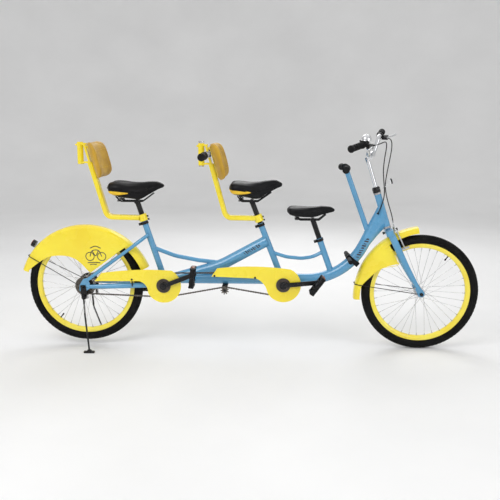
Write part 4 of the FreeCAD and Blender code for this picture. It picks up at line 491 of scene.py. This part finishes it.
def saddle_rings(stations):
    """Cross-sections of a saddle, closely spaced, with rounded ends."""
    rings = []
    for x, half, top, bottom in saddle_places(stations, 5):
        knots = [Vector((x, (half - SADDLE_SKIN) * share, bottom + (top - bottom) * level + lift))
                 for share, level, lift in SADDLE_OUTLINE]
        rings.append(spline(knots, 4, closed=True))
    caps = []
    for ring, direction in ((rings[0], -1), (rings[-1], 1)):
        centre = sum(ring, Vector()) / len(ring)
        for scale, push in ((0.86, 3), (0.55, 5.5)):
            shift = Vector((direction * push, 0, 0))
            caps.append([centre + (point - centre) * scale + shift for point in ring])
    return [caps[1], caps[0]] + rings + [caps[2], caps[3]]


def saddles():
    """The three saddles with their piping and springs, and the yellow strips of the two adult ones."""
    for name, stations in SADDLES.items():
        body = name + "_seat"
        geometry = Geometry().loft(saddle_rings(stations))
        tree = tree_of(upholstered(name + "_saddle_cover", geometry, VINYL, body, name + "_saddle"))
        places = saddle_places(stations, 4)
        loop = []
        for side, way in ((-1, places), (1, reversed(places))):
            for x, _, top, bottom in way:
                got = hit(tree, (x, side * 160, bottom + (top - bottom) * SEAM_LEVEL), (0, -side, 0))
                if got:
                    loop.append(got[0] + got[1] * 0.3)
        piping = Geometry().tube(spline(loop, 2, closed=True), 1.7, 8, closed=True)
        piece(name + "_saddle_piping", piping, VINYL, body)
        if name in TRIM_CENTRES:
            saddle_trim(name, tree, stations, TRIM_CENTRES[name], body)
        saddle_springs(name, body)


def saddle_trim(name, tree, stations, centre, body):
    """The yellow strip along the lower rear edge of a saddle, tapered towards its ends."""
    low = stations[2][3] + 17
    columns = []
    count = 61
    for index in range(count):
        degrees = TRIM_SWEEP * (2 * index / (count - 1) - 1)
        angle = math.radians(degrees)
        outward = Vector((-math.cos(angle), math.sin(angle), 0))
        taper = max(0, min(1, (TRIM_SWEEP - abs(degrees)) / 40))
        half = 1.2 + 8.5 * math.sqrt(taper)
        middle = low + 9 * max(0, math.cos(angle)) ** 3
        outer, inner = [], []
        for step in range(-3, 4):
            got = hit(tree, Vector((centre, 0, middle + half * step / 3)) + outward * 200, -outward)
            if got:
                proud = 2 * math.sqrt(1 - (step / 3) ** 2) + 0.35
                outer.append(got[0] + outward * proud)
                inner.insert(0, got[0] - outward * 2.5)
        if len(outer) == 7:
            columns.append(outer + inner)
    piece(name + "_saddle_trim", Geometry().loft(columns), TRIM, body, sharp=60)


def coil(start, end, radius, turns, steps):
    """Points on a coil from one point to another, wound about the upright."""
    start, end = Vector(start), Vector(end)
    points = []
    for step in range(steps + 1):
        angle = 2 * math.pi * turns * step / steps
        winding = Vector((radius * math.cos(angle), radius * math.sin(angle), 0))
        points.append(start + (end - start) * (step / steps) + winding)
    return points


def saddle_springs(name, body):
    """Two coil springs between the rails and the back of a saddle, with their end cups."""
    stations = SADDLES[name]
    back, low, spread, radius = SPRINGS[name]
    x = stations[2][0] - back
    high = stations[2][3] + 4
    springs = Geometry()
    for side in SIDES:
        y = side * spread
        springs.tube(coil((x, y, low), (x, y, high), radius, 4, 96), 1.7, 8)
        for z in (low - 2, high - 6):
            springs.turned([(3, 0), (radius + 2.2, 0.6), (radius + 2.2, 2.6), (3, 3.4)], (x, y, z),
                           (0, 0, 1), 20)
    piece(name + "_saddle_springs", springs, BLACK_STEEL, body)


def pad_point(name, across, up, depth):
    """A point of a curved backrest pad: millimetres across, up and out from its middle surface."""
    curve = 204
    angle = across / curve
    radius = curve - depth
    x = 190 - radius * math.cos(angle)
    point = Matrix.Rotation(math.radians(-15), 4, "Y") @ Vector((x, radius * math.sin(angle), up))
    top = BACKREST_TOPS[name]
    return point + Vector((top[0] + 42, 0, top[1] + 22))


def pad_edge(angle, shrink):
    """A place on the rounded-rectangle edge of a pad as (across, up)."""
    power = 0.42
    c, s = math.cos(angle), math.sin(angle)
    return ((132 - shrink) * math.copysign(abs(c) ** power, c),
            (98 - shrink) * math.copysign(abs(s) ** power, s))


def backrest_pads():
    """Both padded backrests, with piping round the front and the back edge."""
    for name in BACKREST_TOPS:
        edge = [pad_edge(2 * math.pi * step / 64, 3) for step in range(64)]
        rings = [[pad_point(name, across * share, up * share, depth) for across, up in edge]
                 for share, depth in PAD_SECTION]
        geometry = Geometry().loft(rings)
        tree = tree_of(upholstered(name + "_backrest_cushion", geometry, LEATHER, "frame", "backrest_pads"))
        piping = Geometry()
        for depth in (8.5, -9):
            loop = []
            for step in range(96):
                start, end = (pad_point(name, *pad_edge(2 * math.pi * step / 96, shrink), depth)
                              for shrink in (-40, 60))
                got = hit(tree, start, end - start)
                if got:
                    loop.append(got[0])
            piping.tube(loop, 1.9, 8, closed=True)
        piece(name + "_backrest_piping", piping, LEATHER, "frame")
        quilting(name, tree)


def quilting(name, tree):
    """The two sewn lines across the front of a pad, as rows of stitches."""
    stitches = Geometry()
    for up in (-46, 46):
        for index in range(-16, 16):
            ends = []
            for across in (index * 6.6 + 0.8, index * 6.6 + 5.4):
                start, end = (pad_point(name, across, up, depth) for depth in (60, 0))
                got = hit(tree, start, end - start)
                if got:
                    ends.append(got[0] + got[1] * 0.25)
            if len(ends) == 2:
                middle = (ends[0] + ends[1]) / 2 + Vector((0.5, 0, 0))
                stitches.tube([ends[0], middle, ends[1]], 0.6, 6)
    piece(name + "_backrest_stitches", stitches, TRIM, "frame", slot="mustard_leather")


# ---- wheels ----
def tread_depth(lean, phase):
    """How deep the tread is cut at a lean in degrees from the crown, at one of eight steps round it."""
    across = abs(lean)
    left = lean > 0
    if 8 <= across < 15:
        return 1.5
    if 15 <= across < 36:
        return 1.5 if (phase + (2 if left else 0)) % TREAD_STEPS < 2 else 0
    if 36 <= across < 42:
        return 1.3
    if 42 <= across < 66:
        return 1.5 if (phase + (6 if left else 4)) % TREAD_STEPS < 3 else 0.2
    if 70 < across < 74 or 104 < across < 108:
        return -0.35
    return 0


def tyre_ring(centre, degrees, phase):
    """One cross-section of a tyre, with its tread cut by the position along the tread pattern."""
    points = []
    for step in range(49):
        lean = TYRE_LEAN * (step / 24 - 1)
        radius = TYRE_RADIUS - 0.1 - tread_depth(lean, phase)
        angle = math.radians(lean)
        points.append(polar(centre, WHEEL_RING + radius * math.cos(angle), degrees, radius * math.sin(angle)))
    return points + [polar(centre, 257.5, degrees, y) for y in (12.6, -12.6)]


def tyre(name, centre):
    """A tyre with its tread."""
    count = TREAD_STEPS * TREAD_BLOCKS
    rings = [tyre_ring(centre, 360 * index / count, index % TREAD_STEPS) for index in range(count)]
    skin = Geometry().loft(rings, closed=True)
    piece(name + "_tyre_tread", skin, TYRE, name + "_wheel", [name + "_tyre"], sharp=28)


def valve(name, centre):
    """The rim's valve with its ribbed cap, pointing at the hub."""
    profile = [(5.6, -3), (5.2, 2.5), (3.1, 4), (3.1, 15), (2.6, 15.4), (2.6, 17.5), (4.1, 18),
               (4.1, 19), (3.7, 19.4), (4.1, 19.8), (4.1, 22), (3.7, 22.4), (4.1, 22.8), (4.1, 27),
               (3, 29.5), (0.6, 30)]
    stem = Geometry().turned(profile, polar(centre, 238, VALVES[name]), polar((0, 0), -1, VALVES[name]), 20)
    piece(name + "_valve", stem, PLASTIC, name + "_wheel", slot="black_rubber")


def eyelets(name, centre):
    """The sleeves in the rim where the spokes' nipples sit."""
    sleeves = Geometry()
    for index in range(SPOKES):
        degrees = VALVES[name] + (index + 0.5) * 360 / SPOKES
        side = 1 if index % 2 else -1
        leading = 1 if (index // 2) % 2 else -1
        seat = polar(centre, 235.2, degrees, side * 2.2 + leading * 1.3)
        sleeves.turned([(2.2, -1.2), (4, -1.4), (4.4, 0), (3.2, 1), (2.2, 0.6)], seat,
                       polar((0, 0), -1, degrees), 14)
    piece(name + "_eyelets", sleeves, STEEL, name + "_wheel")


def wheels():
    """Treaded tyres, valves and spoke eyelets for both wheels."""
    for name, centre in AXLES.items():
        tyre(name, centre)
        valve(name, centre)
        eyelets(name, centre)


# ---- chains ----
def belt(circles):
    """The pitch line of a chain about circles (x, z, radius, side passed), as closely spaced points."""
    normals = []
    for (x, z, radius, turn), following in zip(circles, circles[1:] + circles[:1]):
        there_x, there_z, there_radius, there_turn = following
        lean = math.asin((turn * radius - there_turn * there_radius) / math.hypot(there_x - x, there_z - z))
        normals.append(math.atan2(there_z - z, there_x - x) - math.pi / 2 + lean)
    line = []
    for index, (x, z, radius, turn) in enumerate(circles):
        first = normals[index - 1]
        sweep = turn * (turn * (normals[index] - first) % (2 * math.pi))
        steps = max(4, int(abs(sweep) * radius / 1.5))
        for step in range(steps + 1):
            angle = first + sweep * step / steps
            line.append((x + turn * radius * math.cos(angle), z + turn * radius * math.sin(angle)))
    return line


def evenly(line, pitch):
    """Points on a closed line, spaced evenly and nearly a pitch apart, in an even number."""
    closed = line + line[:1]
    reached = [0, *accumulate(math.dist(a, b) for a, b in zip(closed, closed[1:]))]
    count = 2 * round(reached[-1] / pitch / 2)
    result = []
    for number in range(count):
        target = reached[-1] * number / count
        index = max(bisect_left(reached, target) - 1, 0)
        share = (target - reached[index]) / (reached[index + 1] - reached[index])
        a, b = closed[index], closed[index + 1]
        result.append((a[0] + (b[0] - a[0]) * share, a[1] + (b[1] - a[1]) * share))
    return result


def chain_link(geometry, start, end, y, outer):
    """One link of a roller chain between two pin centres: two waisted plates, and pins or rollers."""
    origin = Vector((start[0], 0, start[1]))
    ahead = Vector((end[0], 0, end[1])) - origin
    length = ahead.length
    ahead.normalize()
    up = Vector((-ahead.z, 0, ahead.x))
    near, far = (2.85, 3.65) if outer else (1.95, 2.75)
    for side in SIDES:
        rings = []
        for inset, distance in ((0.3, near), (0, near + 0.15), (0, far - 0.15), (0.3, far)):
            size = 1 - inset / PLATE_RADIUS
            outline = []
            for pin, first, waist in ((0, 60, -1), (length, -120, 1)):
                outline.extend(polar((pin, 0), PLATE_RADIUS * size, first + 240 * step / 7)
                               for step in range(8))
                outline.append(Vector((length / 2, 0, waist * PLATE_WAIST * size)))
            rings.append([origin + ahead * spot.x + up * spot.z + Vector((0, y + side * distance, 0))
                          for spot in outline])
        geometry.loft(rings)
    if outer:
        profile, segments = [(1.2, -4.1), (1.8, -3.9), (1.8, 3.9), (1.2, 4.1)], 10
    else:
        profile, segments = [(3.6, -1.85), (3.85, -1.6), (3.85, 1.6), (3.6, 1.85)], 12
    for x, z in (start, end):
        geometry.turned(profile, (x, y, z), (0, 1, 0), segments)


def chains():
    """Both chains, link by link."""
    routes = {
        "drive": (-52, [(*AXLES["rear"], SPROCKET_PITCH, 1), (*REAR_BB, CHAINRING_PITCH, 1)]),
        "timing": (-61, [(*REAR_BB, CHAINRING_PITCH, 1), (*IDLER, IDLER_PITCH, -1),
                           (*FRONT_BB, CHAINRING_PITCH, 1)]),
    }
    for name, (y, circles) in routes.items():
        pins = evenly(belt(circles), CHAIN_PITCH)
        links = Geometry()
        for index, start in enumerate(pins):
            chain_link(links, start, pins[(index + 1) % len(pins)], y, index % 2 == 0)
        piece(name + "_chain_links", links, CHAIN, "frame", [name + "_chain"], sharp=30)


# ---- bars, grips, cables ----
def ribbed_grip(geometry, start, end, radius):
    """A rubber grip with rings of ribs, an inner flange and a rounded, swollen end."""
    start, end = Vector(start), Vector(end)
    length = (end - start).length
    steps = [(2.6, 0.2), (3, 1.2), (2.6, 3.4), (-0.6, 4.6)]
    rib = 8
    while rib < length - 20:
        steps.extend((proud, rib + shift)
                     for proud, shift in ((-0.9, 0), (0.3, 0.8), (0.3, 2.6), (-0.9, 3.4)))
        rib += 5
    steps.extend((proud, length - back)
                 for proud, back in ((-0.5, 14), (1.6, 11), (2, 7), (1.9, 3), (0, 0.7)))
    profile = [(11.3, 0), *((radius + proud, distance) for proud, distance in steps),
               (radius * 0.5, length), (2, length - 0.6)]
    geometry.turned(profile, start, end - start, 36)


def grips():
    """The ribbed grips of all three handlebars."""
    front = Geometry()
    ribbed_grip(front, (1544.7, 128, 1111.5), (1569.9, 244.8, 1124.2), 16)
    ribbed_grip(front, (1419.3, -168, 1071.1), (1353.1, -266.8, 1054.4), 16)
    piece("front_ribbed_grips", front, RUBBER, "steering", ["handlebar_grips"], sharp=30)
    riders = Geometry()
    for side in SIDES:
        ribbed_grip(riders, (653, side * 163, 1016), (653, side * 285, 1016), 17)
        ribbed_grip(riders, (1359.8, side * 40, 949.4), (1347.8, side * 128, 945.9), 16)
    piece("rider_ribbed_grips", riders, RUBBER, "frame", ["passenger_grips"], sharp=30)


def cable_mesh(name, route):
    """A cable's housing as a mesh round a smooth line with the route's points as control points."""
    curve = bpy.data.curves.new(name, "CURVE")
    curve.dimensions = "3D"
    line = curve.splines.new("NURBS")
    line.points.add(len(route) - 1)
    for point, spot in zip(line.points, route):
        point.co = (*place(*spot), 1)
    line.order_u = 3
    line.use_endpoint_u = True
    line.resolution_u = 10
    curve.bevel_depth = 2.5 * MM
    curve.bevel_resolution = 3
    curve.use_fill_caps = True
    holder = linked(name + "_line", curve)
    mesh = evaluated_copy(holder)
    bpy.data.objects.remove(holder)
    return mesh


def cables():
    """Both brake cables with their ferrules, and the bare wire at the front brake."""
    front_mesh, rear_mesh = cable_mesh("front_cable", FRONT_CABLE), cable_mesh("rear_cable", REAR_CABLE)
    piece("front_cable_housing", front_mesh, PLASTIC, "steering", ["front_brake_cable"])
    rear = piece("rear_cable_housing", rear_mesh, PLASTIC, None, ["rear_brake_cable"])
    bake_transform(rear)
    ends = Geometry()
    for route in (FRONT_CABLE, FRONT_CABLE[::-1], REAR_CABLE):
        ends.turned([(2.4, 0), (3.5, 0.3), (3.5, 5.5), (3.1, 6), (3.5, 6.5), (3.5, 11), (2.6, 12)],
                    route[0], Vector(route[1]) - Vector(route[0]), 18)
    ends.tube([FRONT_CABLE[-1], (1612, 25.5, 655), (1611.5, 25, 646)], 0.8, 8)
    piece("cable_ferrules", ends, STEEL, "steering")
    away = Vector(REAR_CABLE[-2]) - Vector(REAR_CABLE[-1])
    profile = [(3.2, -2), (6, -1), (6, 1.5), (4.6, 4), (3.6, 7), (2.6, 7.2)]
    port = Geometry().turned(profile, Vector(REAR_CABLE[-1]) + away.normalized() * 2, away, 20)
    piece("cable_port_grommet", port, RUBBER, "frame")


def bell():
    """The polished dome of the bell with its rolled lip, cap nut and thumb striker."""
    base = with_stem((1493.6, -122, 1111.6))
    up = (with_stem((1493.6, -122, 1131.6)) - base).normalized()
    profile = [(24.2, -1.6), (26.4, -1.8), (26.9, -0.8), (26.4, 0.4), (25.6, 0.8)]
    for step in range(1, 12):
        angle = math.radians(2 + 84 * step / 11)
        profile.append((25.6 * math.cos(angle), 25.6 * math.sin(angle)))
    profile.extend([(4.2, 25.6), (4.2, 27.2), (3, 28.6), (0.6, 29)])
    piece("bell_dome", Geometry().turned(profile, base, up, 48), CHROME, "steering", sharp=35)
    line = [with_stem(point) for point in ((1492, -118, 1106.5), (1474, -116, 1106), (1458, -108, 1102))]
    piece("bell_striker", Geometry().tube(line, [2.6, 3.2, 4.6], 12), PLASTIC, "steering")


def headset_cover():
    """The black locknut and dust cap around the top of the steerer, with wrench flats."""
    nut = Geometry()
    for segments, profile in (
            (40, [(17, 0), (19.6, 0.4), (20.6, 2.2), (20.6, 5.4), (19.4, 7.4), (17, 7.8)]),
            (8, [(17, 8), (19.8, 8.4), (20.2, 10), (20.2, 22), (19.4, 23.6), (14, 24.4)]),
            (40, [(17.2, 24.4), (18.2, 25.6), (17.6, 28.6), (14, 29.6), (11.5, 29.8)])):
        nut.turned(profile, HEAD_LOW + HEAD_AXIS * 181.6, HEAD_AXIS, segments)
    piece("headset_nut_cover", nut, BLACK_STEEL, "steering", sharp=25)


# ---- pedals, covers, reflectors ----
def pedals():
    """The four platform pedals with toothed edges, and their amber reflectors."""
    rows = [("rear_right", REAR_BB, 21.6, -1, 84), ("rear_left", REAR_BB, 201.6, 1, 0),
            ("front_right", FRONT_BB, 5.6, -1, 53.5), ("front_left", FRONT_BB, 185.6, 1, 0)]
    for name, centre, direction, side, tilt in rows:
        rider = name + "_pedal_body"
        eye = polar(centre, CRANK_LENGTH, direction, side * PEDAL_Y)
        turn = Matrix.Translation(eye) @ Matrix.Rotation(math.radians(-tilt), 4, "Y")
        body = Geometry()
        for side_y in (-36.5, 36.5):
            body.box((-51, side_y - 4.2, -11), (51, side_y + 4.2, 11), turn)
        for x, half in ((-46.5, 5.2), (46.5, 5.2), (-21.5, 4.2), (21.5, 4.2)):
            body.box((x - half, -38, -10.5), (x + half, 38, 10.5), turn)
            for y in range(-32, 33, 8):
                body.box((x - half + 0.8, y - 2.4, -13.2), (x + half - 0.8, y + 2.4, 13.2), turn)
        for x in (-34, -9, 9, 34):
            body.box((x - 2.2, -38, -5), (x + 2.2, 38, 5), turn)
        piece(name + "_pedal_cage", body, PLASTIC, rider, [name + "_pedal"], sharp=30, bevel=0.9)
        axis = turn.to_3x3() @ Vector((0, 1, 0))
        profile = [(6, -41), (9.6, -40), (9.6, -30), (8.4, -27), (8.4, 27), (9.6, 30), (9.6, 40), (6, 41)]
        barrel = Geometry().turned(profile, eye, axis, 28)
        piece(name + "_pedal_barrel", barrel, PLASTIC, rider)
        lamps = Geometry()
        for x in (-53.4, 53.4):
            lamps.box((x - 1.7, -22.5, -7.2), (x + 1.7, 22.5, 7.2), turn)
            outer = math.copysign(1.7, x)
            for y, z in product(range(-20, 21, 5), (-4.8, 0, 4.8)):
                lamps.box((x + min(outer, outer * 1.5), y - 1.7, z - 1.7),
                          (x + max(outer, outer * 1.5), y + 1.7, z + 1.7), turn)
        piece(name + "_pedal_lamps", lamps, AMBER, rider, bevel=0.35)


def dust_covers():
    """The pressed covers between the chainguards and the right cranks, with ribs and a rolled edge."""
    for name, centre in (("rear", REAR_BB), ("front", FRONT_BB)):
        profile = [(20, 0.2), (35.6, 0.2), (37, 0.9), (37.4, 1.7), (36.6, 2.5), (34.4, 2.6), (33.2, 1.7),
                   (24, 1.5), (20, 1.9)]
        cover = Geometry().turned(profile, (centre[0], -73.4, centre[1]), (0, -1, 0), 64)
        for index in range(30):
            cover.tube([polar(centre, radius, index * 12, -75.1) for radius in (24, 32.6)], 0.8, 6)
        piece(name + "_dust_cover", cover, COVER, name + "_cranks", sharp=30)
        caps = Geometry()
        for side in SIDES:
            caps.turned([(10.4, 0), (10.4, 3.6), (9.4, 4.6), (6.2, 4.8), (6, 3.2), (0.4, 3.2)],
                        (centre[0], side * 89.5, centre[1]), (0, side, 0), 28)
        piece(name + "_crank_caps", caps, BLACK_STEEL, name + "_cranks", sharp=30)


def chainguard_screws():
    """Pan-head screws with washers where the standoffs hold both chainguards."""
    tree = tree_of(frame["nodes"]["chainguards"])
    profile = [(5.6, -0.4), (5.6, 0.5), (4.2, 0.6), (4.2, 1.2), (3.4, 1.9), (1.9, 2.2), (1.7, 1.2),
               (0.3, 1.2)]
    heads = Geometry()
    for x, z in ((258, 372), (690, 395.5), (900, 388)):
        seat, outward = hit(tree, Vector((x, -200, z)), (0, 1, 0))
        heads.turned(profile, seat, outward, 24)
    piece("chainguard_screws", heads, BLACK_STEEL, "frame", sharp=30)


def lens(name, centre, axis, radius, material, body, housing):
    """A round reflector: a turned housing and a lens with rings of small pyramids."""
    axis = Vector(axis).normalized()
    side = axis.cross(Vector((0, 1, 0))).normalized()
    other = axis.cross(side)
    profile = [(radius - 3, -1), (radius - 0.6, 0), (radius - 1.2, 1.2), (radius - 3.4, 1.6), (0.4, 1.6)]
    glass = Geometry().turned(profile, centre, axis, 40)
    reach = int(radius / PYRAMID_PITCH)
    for row, column in product(range(-reach, reach + 1), repeat=2):
        a = (column + 0.5 * (row % 2)) * PYRAMID_PITCH
        b = row * PYRAMID_PITCH * 0.87
        if math.hypot(a, b) > radius - 3.6:
            continue
        spot = Vector(centre) + side * a + other * b + axis * 1.5
        ring = circle(spot, side, other, 1.7, 6)
        glass.loft([ring, [spot + axis * 0.9 + (point - spot) * 0.12 for point in ring]])
    piece(name + "_lens", glass, material, body, sharp=20)
    if housing:
        profile = [(radius * 0.35, -9), (radius - 1, -7.5), (radius + 1.2, -4), (radius + 1.4, 0.6),
                   (radius + 0.4, 1.4), (radius - 0.8, 0.4)]
        piece(name + "_housing", Geometry().turned(profile, centre, axis, 40), PLASTIC, body, sharp=30)


def reflectors():
    """The white front reflector and the red rear one."""
    lens("front_reflector", (1593, 0, 883.3), (9, 0, 3), 13, CLEAR, "steering", True)
    lens("rear_reflector", (-279.5, 0, 551.3), (-17, 0, 9.5), 18.6, RED, "frame", False)


# ---- fender edges, decals, welds ----
def fender_edges():
    """The rolled lower edges of both fenders, as a bead along each side."""
    shapes = {
        "rear": ((5, 291), 322, 22.5, 160.5,
                 [(44, 408), (30, 402), (-14, 449), (-55, 478), (-110, 490), (-180, 484), (-233, 457)],
                 49, 158, "frame"),
        "front": ((1790, 277), 347, 98.5, 181.5,
                  [(1600, 537), (1640, 459), (1566, 440), (1530, 421), (1494, 388), (1452, 341)],
                  131, 179, "steering"),
    }
    for name, (centre, radius, start, end, inner, leave, back, body) in shapes.items():
        beads = Geometry()
        for side in SIDES:
            y = side * 36.4
            line = [polar(centre, radius, start + (leave - start) * step / 14, y) for step in range(15)]
            line.extend(Vector((x, y, z)) for x, z in inner)
            steps = max(2, int((end - back) / 1.2))
            line.extend(polar(centre, radius, back + (end - back) * step / steps, y)
                        for step in range(steps + 1))
            beads.tube(spline(line, 5), 1.5, 8)
        piece(name + "_fender_bead", beads, YELLOW, body)


def printed(geometry, tree, outline, side):
    """A thin printed shape: side-view corners of four-sided cells, laid on the surface they face."""
    for cell in outline:
        upper, lower = [], []
        for x, z in cell:
            got = hit(tree, Vector((x, side * 200, z)), (0, -side, 0))
            if got is None:
                return
            upper.append(got[0] + got[1] * 0.35)
            lower.append(got[0] - got[1] * 0.25)
        geometry.loft([lower, upper])


def band_cells(points, half, steps):
    """Four-sided cells along a line in side view, as wide as a stroke of a pen."""
    line = spline([Vector((x, z, 0)) for x, z in points], steps)
    cells = []
    for a, b in zip(line, line[1:]):
        run = (b - a).normalized() * half
        across = Vector((-run.y, run.x, 0))
        cells.append([(a + across).xy, (b + across).xy, (b - across).xy, (a - across).xy])
    return cells


def emblem():
    """A plain line drawing on both sides of the rear fender."""
    fender = tree_of(frame["nodes"]["rear_fender"])
    rounds = [[polar((x, 486), 22, 15 * step).xz for step in range(25)] for x in (34, 96)]
    cells = [band_cells(line, 2.1, 1) for line in rounds] + [band_cells(line, 2.3, 5) for line in STROKES]
    ink = Geometry()
    for side, shape in product(SIDES, cells):
        printed(ink, fender, shape, side)
    piece("fender_emblem", ink, DECAL, "frame", sharp=30)


def tube_bars(node, start, run, length, half):
    """A row of plain slanted bars along both sides of a frame tube."""
    tube = tree_of(frame["nodes"][node])
    start, run = Vector(start), Vector(run)
    across = Vector((-run.z, 0, run.x))
    bars = Geometry()
    for side, index in product(SIDES, range(BAR_COUNT)):
        width = length / BAR_COUNT * (0.62 if index % 3 else 0.38)
        foot = start + run * (length * index / BAR_COUNT)
        tall = half * (0.9 if index % 2 else 0.62)
        edges = [[(foot + across * level + run * (shift - level * BAR_SLANT)).xz for shift in (0, width)]
                 for level in (tall * (step / 3 - 1) for step in range(7))]
        printed(bars, tube, [[*low, *reversed(high)] for low, high in zip(edges, edges[1:])], side)
    piece(node + "_decal", bars, DECAL, "frame", sharp=30)


def decals():
    """The printed emblem and the bars on two frame tubes."""
    emblem()
    tube_bars("main_tube", (1427, 0, 490), (0.465, 0, 0.885), 118, 11)
    tube_bars("diagonal_tube", (842, 0, 506), (0.876, 0, 0.482), 96, 10)


def weld(geometry, tree, start, toward, radius):
    """A rippled bead where a round tube meets another part's surface, with gaps where it passes by."""
    start, toward = Vector(start), Vector(toward)
    run = (toward - start).normalized()
    side = run.orthogonal().normalized()
    count = 72
    radii = [1.9 + 0.45 * (step % 2) for step in range(count)]
    loop = []
    for spot in circle(start, side, run.cross(side), radius + 0.4, count):
        got = hit(tree, spot, run)
        near = got is not None and (got[0] - spot).length < (toward - start).length * 1.6
        loop.append(got[0] - run * 0.4 if near else None)
    if None not in loop:
        geometry.tube(loop, radii, 8, closed=True)
        return
    gap = loop.index(None)
    for found, points in groupby(loop[gap:] + loop[:gap], key=lambda point: point is not None):
        line = list(points)
        if found and len(line) > 5:
            geometry.tube(line, radii[:len(line)], 8)


def welds():
    """Weld beads at the joints of the frame's tubes."""
    nodes = frame["nodes"]
    trees = {name: tree_of(nodes[name]) for name in ("seat_tubes", "main_tube", "diagonal_tube", "head_tube")}
    beads = Geometry()
    rows = [
        ("seat_tubes", (478, 0, 487), (353, 0, 540), 11),
        ("diagonal_tube", (640, 0, 459), (716, 0, 450), 11),
        ("seat_tubes", (1040, 0, 491), (984, 0, 510), 9.5),
        ("seat_tubes", (1205, 0, 488), (1255, 0, 516), 9.5),
        ("seat_tubes", (900, 0, 538), (960, 0, 571), 29),
        ("main_tube", (1000, 0, 468), (1020, 0, 417), 16),
        ("main_tube", (1274, 0, 464), (1297, 0, 400), 16),
        ("main_tube", (1434, 0, 744), (1470, 0, 640), 13.5),
        ("seat_tubes", (296, -30, 567), (341, -21, 600), 9),
        ("seat_tubes", (296, 30, 567), (341, 21, 600), 9),
    ]
    for target, start, toward, radius in rows:
        weld(beads, trees[target], start, toward, radius)
    piece("frame_weld_beads", beads, BLUE, "frame", sharp=60)


def stand_springs():
    """The return springs of the stand, one on each leg."""
    springs = Geometry()
    for side in SIDES:
        springs.tube(coil((6, side * 89.5, 246), (9, side * 90.5, 196), 4.2, 12, 160), 1, 6)
    piece("stand_springs", springs, STEEL, "stand_legs")


# ---- room ----
FLOOR_REACH = 6
FLOOR_BEND = 5
WALL_TOP = 12


def aimed(thing, spot, target):
    """Puts a lamp or camera at a spot, looking at a target; both are in metres."""
    thing.location = spot
    thing.rotation_euler = (Vector(target) - Vector(spot)).to_track_quat("-Z", "Y").to_euler()


def room():
    """A pale floor that curves up into a round wall, a soft even sky, three soft lights and the camera."""
    floor_material = surface("pale_floor", (0.84, 0.84, 0.84), (0.9, 0.9, 0.9), 0.8, (0.55, 0.75),
                             [("noise", 60, 0.3, 0.05)])
    line = [(FLOOR_REACH, 0)]
    for step in range(1, 25):
        angle = math.radians(90 * step / 24)
        line.append((FLOOR_REACH + FLOOR_BEND * math.sin(angle), FLOOR_BEND * (1 - math.cos(angle))))
    line.append((FLOOR_REACH + FLOOR_BEND, WALL_TOP))
    around = 96
    points = [point for reach, z in line
              for point in circle(Vector((0, 0, z)), Vector((1, 0, 0)), Vector((0, 1, 0)), reach, around)]
    faces = [tuple(range(around))]
    for ring in range(len(line) - 1):
        for turn in range(around):
            low, after = ring * around, (turn + 1) % around
            faces.append((low + turn, low + around + turn, low + around + after, low + after))
    mesh = bpy.data.meshes.new("floor")
    mesh.from_pydata(points, [], faces)
    mesh.polygons.foreach_set("use_smooth", [index > 0 for index in range(len(mesh.polygons))])
    mesh.materials.append(floor_material)
    linked("floor", mesh)
    scene = bpy.context.scene
    world = bpy.data.worlds.new("studio")
    world.use_nodes = True
    background = world.node_tree.nodes["Background"]
    background.inputs["Color"].default_value = (1, 1, 1, 1)
    background.inputs["Strength"].default_value = 0.78
    scene.world = world
    scene.view_settings.view_transform = "Standard"
    for name, spot, size, power in (("key", (-1.8, -2.6, 3.2), 2.4, 62),
                                    ("fill", (2.6, -2.2, 1.8), 2, 20),
                                    ("back", (0.4, 2.8, 2.8), 2.6, 45)):
        lamp = bpy.data.lights.new(name, "AREA")
        lamp.shape = "DISK"
        lamp.size = size
        lamp.energy = power
        aimed(linked(name, lamp), spot, (0, 0, 0.5))
    camera = bpy.data.cameras.new("camera")
    camera.lens = 49.87
    camera.sensor_width = 36
    camera.clip_end = 200
    scene.camera = linked("camera", camera)
    aimed(scene.camera, (0.1536, -3.5542, 1.2018), (0.0065, 0, 0.52))


room()
paint_cad_nodes()
cables()
saddles()
backrest_pads()
wheels()
chains()
grips()
bell()
headset_cover()
pedals()
dust_covers()
chainguard_screws()
reflectors()
fender_edges()
decals()
welds()
stand_springs()
